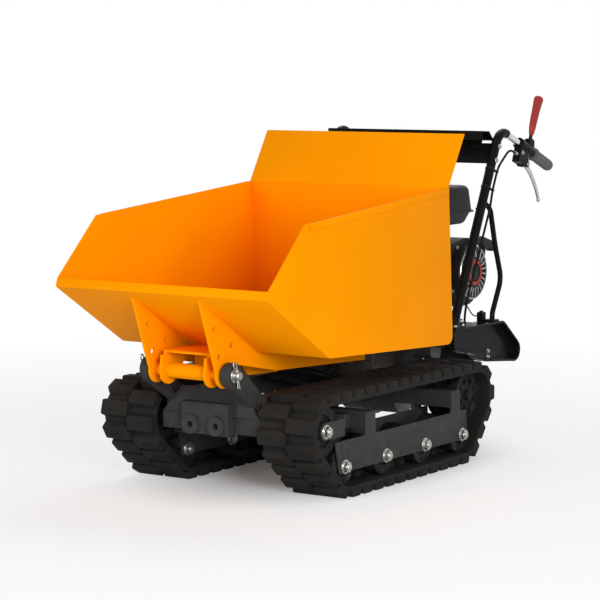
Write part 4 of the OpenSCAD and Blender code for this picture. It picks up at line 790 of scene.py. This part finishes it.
def add_hex(shape, corner_r, height, place):
    """A hexagon with its upper corners cut back."""
    middle = place @ Matrix.Translation((0, 0, height / 2))
    made = bmesh.ops.create_cone(shape, cap_ends=True, segments=6, radius1=corner_r, radius2=corner_r,
                                 depth=height, matrix=middle)["verts"]
    top = [v for v in made if (place.inverted() @ v.co).z > height / 2]
    round_off(shape, top, 0.2 * corner_r, affect="VERTICES")


def add_washer(shape, inner, outer, thick, place):
    soft = 0.25 * thick
    add_turned(shape, [(inner, 0), (outer - soft, 0), (outer, soft), (outer, thick - soft),
                       (outer - soft, thick), (inner, thick), (inner, 0)], place, 28)


def add_stud(shape, r, height, place):
    add_turned(shape, [(0, height), (r - 1.2, height), (r, height - 1.2), (r, 0), (0, 0)], place, 20)


# %% Axle bolts of the rollers and idlers
PLATE_IN, PLATE_OUT = 197, 335
AXLES = ROLLERS + [IDLER]
axle_bolts = bmesh.new()
for side in (1, -1):
    for count, (y, z) in enumerate(AXLES):
        for x, way in ((PLATE_OUT, 1), (PLATE_IN, -1)):
            def at(out):
                return facing((side * (x + way * out), y, z), (side * way, 0, 0), 0.4 + 0.7 * count)

            add_washer(axle_bolts, 10, 20, 3, at(0))
            add_washer(axle_bolts, 10, 15.5, 2, at(3))
            add_hex(axle_bolts, 16, 8, at(5))
            add_stud(axle_bolts, 9.6, 5, at(12.5))
        span = PLATE_OUT - PLATE_IN
        add_turned(axle_bolts, [(0, 0), (10, 0), (10, span), (0, span)],
                   facing((side * PLATE_IN, y, z), (side, 0, 0)), 20)
mm_piece("roller_axles", axle_bolts, "zinc", ("axle_bolts",))
print(len(AXLES) * 2, "axles with nuts at both ends")

# %% Bolts of the panel, the guards and the foot plates
GUARD_FACE = 290
frame_bolts = bmesh.new()
for side in (1, -1):
    heads = [(by_tube(along, 0, TUBE_R), (1, 0, 0), 6) for along in (535, 580)]
    heads += [(Vector((GUARD_FACE, y, z)), (1, 0, 0), 5)
              for y, z in ((206, 364), (224, 364), (440, 289), (440, 307))]
    heads += [(tube_foot + Vector((dx, dy, 0)), (0, 0, 1), 5) for dx in (-19, 19) for dy in (-23, 23)]
    for count, (at, way, r) in enumerate(heads):
        place = facing((side * at.x, at.y, at.z), (side * way[0], way[1], way[2]), 0.5 * count)
        add_washer(frame_bolts, 0.5 * r, 1.35 * r, 1.5, place)
        add_hex(frame_bolts, r, 4.6, place @ Matrix.Translation((0, 0, 1.2)))
mm_piece("panel_bolts", frame_bolts, "zinc", ("frame_bolts",))
print("panel, guard and foot bolts made")

# %% [markdown]
# ## Recoil starter
# The starter's cover is a pressed dish with radial vanes that let the fan breathe, a red ring and a plain
# disc in the middle. The dish keeps its CAD slots. Bright vane edges, the ring and the disc are turned or
# repeated round the crankshaft's axis, because everything on this cover was made on a round tool.

# %% Vanes, ring and disc of the recoil cover
CRANK_Y, CRANK_Z, COVER_X = 550, 533, 185
on_crank = facing((COVER_X, CRANK_Y, CRANK_Z), (1, 0, 0))
vanes = bmesh.new()
VANES = 24
tilt_at = Matrix.Translation((62, 0, -4))
tilt = tilt_at @ Matrix.Rotation(math.radians(8), 4, "Y") @ tilt_at.inverted()
for i in range(VANES):
    turn = Matrix.Rotation((i + 0.5) * math.tau / VANES, 4, "Z")
    add_block(vanes, (47, -1.6, -12), (79, 1.6, -3), 1.0, place=on_crank @ turn @ tilt)
add_turned(vanes, [(79, -13), (80.5, -6), (82.5, -5), (84, -7), (84, -13), (79, -13)], on_crank, 64)
mm_piece("recoil_vanes", vanes, "zinc")
ring = bmesh.new()
add_turned(ring, [(29, -2), (29, 1.2), (30, 2), (39, 2), (40.5, 0.5), (40.5, -3), (29, -2)], on_crank, 64)
mm_piece("recoil_ring", ring, "lever_red")
disc = bmesh.new()
add_turned(disc, [(0, 0.5), (9, 0.5), (10, -0.8), (12, -0.8), (13, 0.3), (25, -0.6), (27.5, -2.5),
                  (27.5, -6), (0, -6)], on_crank, 48)
mm_piece("recoil_disc", disc, "black_plastic")
print(VANES, "vanes, a ring and a disc")

# %% [markdown]
# ## The skip
# The skip is one long sheet, folded at the lip, at the floor and at the back, between two flat side walls
# whose top edges are hemmed. It could be a box with its lid cut off, but a folded sheet has round bends. So
# the bend line is drawn from the side, pushed across the machine, and given the thickness of the sheet
# afterwards.

# %% The folded line of the sheet
SHEET, SKIP_X = 4, 349
LIP, LIP_LOW = Vector((-829, 599)), Vector((-837, 575.3))
BEND, FLOOR_REAR = Vector((-541, 395)), Vector((124, 365))
SIDE_FRONT, SIDE_REAR, BACK_TOP = Vector((-660, 760)), Vector((95, 822)), Vector((188, 973))
FOLD_R = 26


def fold(before, corner, after, r):
    """Points of the bend of radius r that rounds a corner."""
    u, v = (before - corner).normalized(), (after - corner).normalized()
    half = math.acos(u.dot(v)) / 2
    centre = corner + (u + v).normalized() * r / math.sin(half)
    start = corner + u * r / math.tan(half) - centre
    turn = (math.pi - 2 * half) * (1 if u.y * v.x - u.x * v.y > 0 else -1)
    return [centre + Matrix.Rotation(turn * k / BEND_STEPS, 2) @ start for k in range(BEND_STEPS + 1)]


under = fold(LIP_LOW, BEND, FLOOR_REAR, FOLD_R) + fold(BEND, FLOOR_REAR, SIDE_REAR, FOLD_R)
print(len(under), "points in the two bends")


# %% Sheet, side walls and hems
def add_plate(shape, points, x, thick, bevel):
    """A flat plate from its side view, thick along +X, with rounded edges."""
    face = shape.faces.new([shape.verts.new((x, y, z)) for y, z in points])
    made = bmesh.ops.extrude_face_region(shape, geom=[face])["geom"]
    fresh = only(bmesh.types.BMVert, made)
    bmesh.ops.translate(shape, vec=(thick, 0, 0), verts=fresh)
    corners = fresh + list(face.verts)
    faces = list({f for v in corners for f in v.link_faces})
    face_out(shape, faces)
    edges = [e for e in {e for v in corners for e in v.link_edges} if e.calc_face_angle(0) > math.radians(25)]
    round_off(shape, edges, bevel)


skip = bmesh.new()
line = [LIP, LIP_LOW] + under + [SIDE_REAR, BACK_TOP]
inside, wide = SKIP_X - SHEET, SKIP_X - SHEET / 2
profile = [skip.verts.new((-wide, p.x, p.y)) for p in line]
edges = [skip.edges.new(pair) for pair in zip(profile, profile[1:])]
push(skip, edges, (2 * wide, 0, 0))
face_out(skip, skip.faces)
lip_face = min(skip.faces, key=lambda f: f.calc_center_median().y)
if lip_face.normal.y > 0:
    bmesh.ops.reverse_faces(skip, faces=skip.faces)
    skip.normal_update()
bmesh.ops.solidify(skip, geom=skip.faces[:], thickness=SHEET)
face_out(skip, skip.faces)
sharp = [e for e in skip.edges if e.calc_face_angle(0) > math.radians(40)]
round_off(skip, sharp, 1.1)
wall = [LIP, LIP_LOW] + under + [SIDE_REAR, SIDE_FRONT]
rim = (SIDE_REAR - SIDE_FRONT).normalized()
HEM, HEM_OUT = 19, 6
for x in (inside, -SKIP_X):
    add_plate(skip, wall, x, SHEET, 1.1)
hem_start, hem_end = SIDE_FRONT + rim * 22, SIDE_REAR - rim * 8
drop = Vector((0, -HEM))
for x in (SKIP_X - 0.5, -SKIP_X - HEM_OUT):
    add_plate(skip, [hem_start, hem_start + drop, hem_end + drop, hem_end], x, HEM_OUT + 0.5, 2.4)
mm_piece("skip_sheet", skip, "skip_paint", ("skip_shell",), body="skip")
print("skip", 2 * SKIP_X, "mm wide over its walls")

# %% [markdown]
# ## Fuel tank
# The tank is two moulded halves joined at a flange, with a flat top and a lower half that narrows. It could
# be cut from round bars. A cube whose upright edges are bevelled widely, and whose rim is bevelled after
# that, gives the same soft corners with far fewer steps.

# %% Tank halves, flange and neck
TANK_LOW, TANK_TOP, SEAM, FLANGE = Vector((-72, 348, 684)), Vector((174, 574, 803)), 724, 6


def add_half(shape, base_z, rim_z, grow, draw_in, corner, rim):
    """One half of the tank from its base to its rim: the rim is drawn in, and all its edges are rounded."""
    known = set(shape.verts)
    middle, size = (TANK_LOW + TANK_TOP) / 2, TANK_TOP - TANK_LOW
    place = Matrix.Translation((middle.x, middle.y, (base_z + rim_z) / 2))
    place = place @ Matrix.Diagonal((size.x + 2 * grow, size.y + 2 * grow, abs(rim_z - base_z), 1))
    corners = bmesh.ops.create_cube(shape, size=1, matrix=place)["verts"]
    for v in corners:
        if abs(v.co.z - rim_z) < 0.1:
            v.co.x -= math.copysign(draw_in, v.co.x - middle.x)
            v.co.y -= math.copysign(draw_in, v.co.y - middle.y)
    sides = {e for v in corners for e in v.link_edges}
    upright = [e for e in sides if abs(e.verts[0].co.z - e.verts[1].co.z) > 0.1]
    round_off(shape, upright, corner, 8)
    edges = {e for v in shape.verts if v not in known for e in v.link_edges}
    rims = [e for e in edges if all(abs(v.co.z - rim_z) < 0.1 for v in e.verts)]
    round_off(shape, rims, rim, 5)


tank = bmesh.new()
add_half(tank, SEAM, TANK_TOP.z, 0, 8, 44, 17)
add_half(tank, SEAM, TANK_LOW.z, -3, 16, 40, 12)
add_half(tank, SEAM - 2.5, SEAM + 2.5, FLANGE, 0, 48, 1.5)
add_turned(tank, [(0, 0), (22, 0), (22, 7), (20.5, 8), (0, 8)], Matrix.Translation((40, 450, TANK_TOP.z - 2)))
mm_piece("tank_shell", tank, "black_plastic", ("fuel_tank",))
print("tank", [round(c) for c in TANK_TOP - TANK_LOW], "mm")

# %% [markdown]
# ## Hinge pin
# The skip turns on one long zinc pin. Washers keep it in the arms, and a split pin hangs in each end: one
# wire that goes down, round its eye and back up.

# %% Pin, washers and split pins
HINGE_Y, HINGE_Z, PIN_R, PIN_END, ARM_END = -694, 351, 12, 166, 147
pin = bmesh.new()
add_turned(pin, bar_line(PIN_R, 2 * PIN_END, 1.8), facing((-PIN_END, HINGE_Y, HINGE_Z), (1, 0, 0)), 40)
for side in (1, -1):
    add_washer(pin, PIN_R, 20, 3, facing((side * ARM_END, HINGE_Y, HINGE_Z), (side, 0, 0)))
mm_piece("skip_pin", pin, "zinc", ("hinge_pin",))
eye = [(-681, 315), (-691, 344), (-700, 366), (-711, 376), (-711, 388), (-702, 389), (-698, 378),
       (-693, 352), (-691, 317)]
for side, name in SIDES:
    pipe(f"split_pin_{name}", [(155, y, z) for y, z in eye], 2, "zinc", ("hinge_pin",), reach=9, side=side)
print("hinge pin with two split pins")

# %% [markdown]
# ## Levers and grips
# A steering lever is a flat blade that curves away from the bar and ends in a ball, so that a hand can't slip
# off. Its outline is a middle line with a changing width on both sides. The grips are turned, with ribs.

# %% Steering levers
PERCH, PIVOT_HALF = 104, 11
blade = [(34, -42, 7), (46, -46, 9.5), (66, -52, 8.5), (92, -62, 7.5), (118, -76, 7), (142, -92, 6.5),
         (160, -107, 6), (172, -119, 5.5)]


def blade_outline():
    left, right = [], []
    for i, (along, above, half) in enumerate(blade):
        a, b = blade[max(i - 1, 0)], blade[min(i + 1, len(blade) - 1)]
        across = Vector((a[1] - b[1], b[0] - a[0])).normalized() * half
        for edge, way in ((left, 1), (right, -1)):
            p = by_bar(PERCH + along + way * across.x, above + way * across.y)
            edge.append((p.y, p.z))
    return left + right[::-1]


def add_pivot(shape, x, at):
    """A cross pin through a lever, with its middle at x."""
    pin_line = bar_line(4, 2 * PIVOT_HALF, 0.8)
    add_turned(shape, pin_line, facing((x - PIVOT_HALF, at.y, at.z), (1, 0, 0)), 24)


for side, name in SIDES:
    lever = bmesh.new()
    add_plate(lever, blade_outline(), side * HANDLE_X - 3, 6, 1.6)
    tip = by_bar(PERCH + 174, -121)
    place = Matrix.Translation((side * HANDLE_X, tip.y, tip.z))
    bmesh.ops.create_uvsphere(lever, u_segments=24, v_segments=14, radius=7, matrix=place)
    add_pivot(lever, side * HANDLE_X, by_bar(PERCH + 46, -46))
    mm_piece(f"steer_blade_{name}", lever, "zinc", (f"steer_lever_{name}",), body=f"steer_lever_{name}")
print("two steering levers")

# %% Grips
GRIP_R, GRIP_LEN, BAR_LEN = 18, 117, 299
rib_line = [(11.1, 0), (20.4, 0), (21, 0.8), (21, 5), (20, 6), (GRIP_R - 0.6, 7)]
for i in range(6):
    at = 12 + i * 16
    rib_line += [(GRIP_R - 0.6, at - 0.8), (GRIP_R - 3.4, at), (GRIP_R - 3.4, at + 3.6),
                 (GRIP_R - 0.6, at + 4.4), (GRIP_R + 0.4, at + 9)]
rib_line += [(GRIP_R - 0.6, 110), (GRIP_R - 2, 114.5), (GRIP_R - 5, GRIP_LEN), (0, GRIP_LEN)]
grips = bmesh.new()
for side in (1, -1):
    start = by_bar(BAR_LEN - 112, 0)
    add_turned(grips, rib_line, facing((side * HANDLE_X, start.y, start.z), bar_along), 40)
mm_piece("hand_grips", grips, "grip_rubber", ("grips",), 50)
print("two grips")

# %% [markdown]
# ## Weld beads
# The hinge plates and the tube are welded to the skip, and the weld was painted over. A bead is a round line
# whose thickness swells and shrinks with every dip of the torch, so a curve's point radius is waved.

# %% Beads along the hinge plates
RIPPLE, BEAD_R, BEAD_FRONT, BEAD_REAR, BEAD_SINK = 1.4, 2.6, -803, -566, 0.6


def bead(name, start, end, radius, body, slot):
    start, end = Vector(start) * MM, Vector(end) * MM
    count = max(8, round((end - start).length / (RIPPLE * MM)))
    piece, points = round_wire(name, [start.lerp(end, k / count) for k in range(count + 1)], radius, 3)
    for k, point in enumerate(points):
        point.radius = 0.86 + 0.14 * math.sin(k * 2.1) if 0 < k < count else 0.3
    finish_piece(piece, body, slot)


def slope_z(y):
    return BEND.y + (y - BEND.x) * (LIP_LOW.y - BEND.y) / (LIP_LOW.x - BEND.x)


beads = 0
for side in (1, -1):
    for x in (107, 115):
        front, rear = ((side * x, y, slope_z(y) - BEAD_SINK) for y in (BEAD_FRONT, BEAD_REAR))
        bead(f"gusset_bead_{beads}", front, rear, BEAD_R, "skip", "skip_paint")
        beads += 1
print(beads, "weld beads")

# %% [markdown]
# ## Plate behind the hinge tray
# Between the hinge tube and the tray above it one would look right through to the floor. A plate across the
# back of the tray closes that gap. A bevelled block is enough for it, as only a narrow strip of it shows.

# %% Tray's back plate
TRAY_X, TRAY_FRONT, TRAY_REAR, TRAY_LOW, TRAY_TOP = 69, -579, -575, 353, 403
tray_back = bmesh.new()
add_block(tray_back, (-TRAY_X, TRAY_FRONT, TRAY_LOW), (TRAY_X, TRAY_REAR, TRAY_TOP), 1)
mm_piece("tray_back", tray_back, "skip_paint", body="skip")
print("tray behind the hinge tube closed")

# %% [markdown]
# ## Track frames
# A track frame is two flat plates with the rollers between them. The outer plate has two upright ends that
# close the cross beams, and the inner plate stops below them. Plates are cut from sheet, so each is drawn
# from the side and pushed sideways, which leaves its faces truly flat.

# %% Roller plates and the guide block of the tension screw
PLATE_T, PLATE_LOW, PLATE_TOP, BEAM_LOW, BEAM_TOP = 6, 70, 158, 172, 222
PLATE_FRONT, PLATE_REAR, PLATE_SLANT, POSTS, POST_HALF = -487, 230, 20, (168, -308), 26
BLOCK_LOW, BLOCK_HIGH = Vector((246, -367, 175)), Vector((286, -333, 215))


def plate_line(top):
    line = [(PLATE_FRONT, PLATE_TOP), (PLATE_FRONT + PLATE_SLANT, PLATE_LOW), (PLATE_REAR + 12, PLATE_LOW),
            (PLATE_REAR, PLATE_TOP)]
    for y in POSTS:
        rear, front = y + POST_HALF, y - POST_HALF
        line += [(rear, PLATE_TOP), (rear, top), (front, top), (front, PLATE_TOP)]
    return line


for side, name in SIDES:
    plates = bmesh.new()
    for x, top in ((PLATE_IN, BEAM_LOW), (PLATE_OUT - PLATE_T, BEAM_TOP)):
        add_plate(plates, plate_line(top), x if side > 0 else -x - PLATE_T, PLATE_T, 1.2)
    across = Vector((0 if side > 0 else -BLOCK_LOW.x - BLOCK_HIGH.x, 0, 0))
    add_block(plates, BLOCK_LOW + across, BLOCK_HIGH + across, 1.5)
    mm_piece(f"track_plates_{name}", plates, "chassis_paint", (f"track_frame_{name}",))
print("two track frames of", PLATE_T, "mm plate")

# %% [markdown]
# ## Drive lever
# The red lever is a flat steel bar whose upper part was dipped in plastic, so it is plump and swells
# towards its end. A stack of oval rings joined by bridges gives a body that changes its width as freely as
# the dip did.

# %% Dipped handle, bar and pivot
PULL, PIVOT_UP = PERCH + 50, 28
OVALS = ((50, 0, 8, 4.5), (56, 0, 11, 7), (74, 0, 13, 10), (100, 0, 14, 11), (132, 2, 15, 12),
         (156, 4, 17, 13), (170, 6, 18.5, 14), (177, 7, 17, 12), (180, 7.5, 11, 8))
handle = bmesh.new()
loops = []
for above, back, half_along, half_across in OVALS:
    place = facing(by_bar(PULL + back, above), bar_up) @ Matrix.Diagonal((half_across, half_along, 1, 1))
    ring = bmesh.ops.create_circle(handle, segments=24, radius=1, matrix=place)["verts"]
    loops.append(list({e for v in ring for e in v.link_edges}))
for lower, upper in zip(loops, loops[1:]):
    bmesh.ops.bridge_loops(handle, edges=lower + upper)
bmesh.ops.holes_fill(handle, edges=handle.edges)
face_out(handle, handle.faces)
drive_body = nodes["drive_lever"]["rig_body"]
mm_piece("drive_handle", handle, "lever_red", ("drive_lever",), 50, body=drive_body)
bar = bmesh.new()
corners = [by_bar(PULL + along, above) for along, above in ((-7, 20), (7, 20), (7, 60), (-7, 60))]
add_plate(bar, [(p.y, p.z) for p in corners], HANDLE_X - 3, 6, 1)
pivot = by_bar(PULL, PIVOT_UP)
add_pivot(bar, HANDLE_X, pivot)
mm_piece("drive_bar", bar, "black_paint", ("drive_lever",), body=drive_body)
print("drive lever", round((by_bar(PULL, 180) - pivot).length), "mm above its pivot")

# %% [markdown]
# ## Fittings of the handles
# Small bright parts make a lever bracket look real: clamp screws, the cable's adjuster, and the clips that
# hold the cable to the tube. The upper edge of the cross panel closes the gap below the console.

# %% Screws, adjuster, clips and the panel's edge
fittings = bmesh.new()
for side in (1, -1):
    for along, above, out in ((-6, -26, 13), (46, -46, 11)):
        at = by_bar(PERCH + along, above, out)
        add_washer(fittings, 2, 6.4, 1.2, facing((side * at.x, at.y, at.z), (side, 0, 0)))
        add_hex(fittings, 4.6, 3.6, facing((side * (at.x + 1), at.y, at.z), (side, 0, 0), along))
add_turned(fittings, [(0, 0), (6, 0), (6, 5), (5, 6), (5, 11), (4.4, 12), (4.4, 17), (0, 17)],
           facing(by_bar(PERCH - 16, -34), -bar_along), 24)
mm_piece("perch_fittings", fittings, "zinc")

clips = bmesh.new()
for along in (446, 506):
    start = by_tube(along - 4, 0)
    add_washer(clips, TUBE_R - 0.3, TUBE_R + 1.6, 8, facing(start, tube_up))
    start = by_tube(along - 4, 21, 13)
    add_washer(clips, 3.2, 5.4, 8, facing(start, tube_up))
    arm = Matrix.Translation(by_tube(along, 14.6, 9)) @ Matrix.Rotation(-LEAN, 4, "X")
    add_block(clips, (-4, -3.5, -3), (4, 3.5, 3), 0.8, place=arm)
mm_piece("cable_clips", clips, "black_plastic")

edge = bmesh.new()
place = Matrix.Translation((0, tube_foot.y, tube_foot.z)) @ Matrix.Rotation(-LEAN, 4, "X")
add_block(edge, (-240, -2, 588), (240, 2, 599), 0.8, place=place)
mm_piece("panel_edge", edge, "black_paint")
print("perch fittings, cable clips and the panel's edge made")

# %% [markdown]
# ## Rolled edges of the rear guards
# The guards are pressed with a thick rolled edge, which catches the light all along the slanted back. A
# bent round bar laid on the CAD rim does that. Its line is two arcs, about the same centres as the corners
# of the guard.

# %% Guard edges
GUARD_RIM, EDGE_R, ARC_STEPS = 318, 4, 8
EDGE_X = GUARD_RIM - EDGE_R + 1
CORNERS = ((484, 366, 27, 90, 50), (566, 298, 31, 50, -93))
edge_line = [(EDGE_X, 196, 393)]
for y, z, r, start, end in CORNERS:
    for k in range(ARC_STEPS + 1):
        a = math.radians(start + (end - start) * k / ARC_STEPS)
        edge_line.append((EDGE_X, y + r * math.cos(a), z + r * math.sin(a)))
edge_line.append((EDGE_X, 412, 286))
for side, name in SIDES:
    pipe(f"guard_edge_{name}", edge_line, EDGE_R, "black_paint", reach=2, side=side)
print("rolled guard edges of", 2 * EDGE_R, "mm")

# %% [markdown]
# ## Engine dressing
# The bolts of the fan housing and of the crankcase follow circles about the crankshaft. The oil's drain
# plug and its filler sit low on the block, at the back, where a hand can reach them. Copies of one bolt on
# a circle are quicker than placing each.

# %% Engine bolts, drain plug and oil filler
def bolt_ring(shape, centre, way, radius, count, head_r, start):
    """Hex heads with washers on a circle about a centre, all looking one way."""
    base = facing(centre, way)
    for i in range(count):
        turn = Matrix.Rotation(start + i * math.tau / count, 4, "Z")
        place = base @ turn @ Matrix.Translation((radius, 0, 0))
        add_washer(shape, 0.4 * head_r, 1.4 * head_r, 1.2, place)
        add_hex(shape, head_r, 0.8 * head_r, place @ Matrix.Translation((0, 0, 1)))


engine_bolts = bmesh.new()
FAN_X, BLOCK_X = 150, -90
bolt_ring(engine_bolts, (FAN_X, CRANK_Y, CRANK_Z), (1, 0, 0), 95, 4, 5, 0.6)
bolt_ring(engine_bolts, (BLOCK_X, CRANK_Y, CRANK_Z - 8), (-1, 0, 0), 58, 6, 5, 0.3)
BLOCK_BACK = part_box("engine_block")[1].y / MM
drain = facing((44, BLOCK_BACK, 472), (0, 1, 0))
add_washer(engine_bolts, 6, 12, 2, drain)
add_hex(engine_bolts, 10, 9, drain @ Matrix.Translation((0, 0, 2)))
mm_piece("engine_bolts", engine_bolts, "zinc")

filler = bmesh.new()
add_turned(filler, [(0, 0), (15, 0), (15, 6), (11, 7), (11, 14), (13, 15), (13, 20), (11, 22), (0, 22)],
           facing((-48, BLOCK_BACK - 2, 478), (0, 0.9, 0.45)))
mm_piece("oil_filler", filler, "black_plastic")
print("engine bolts, drain plug and oil filler made")

# %% Sizes and the end of the lesson
low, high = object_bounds()
print("visual box", [round(c, 4) for c in high - low])
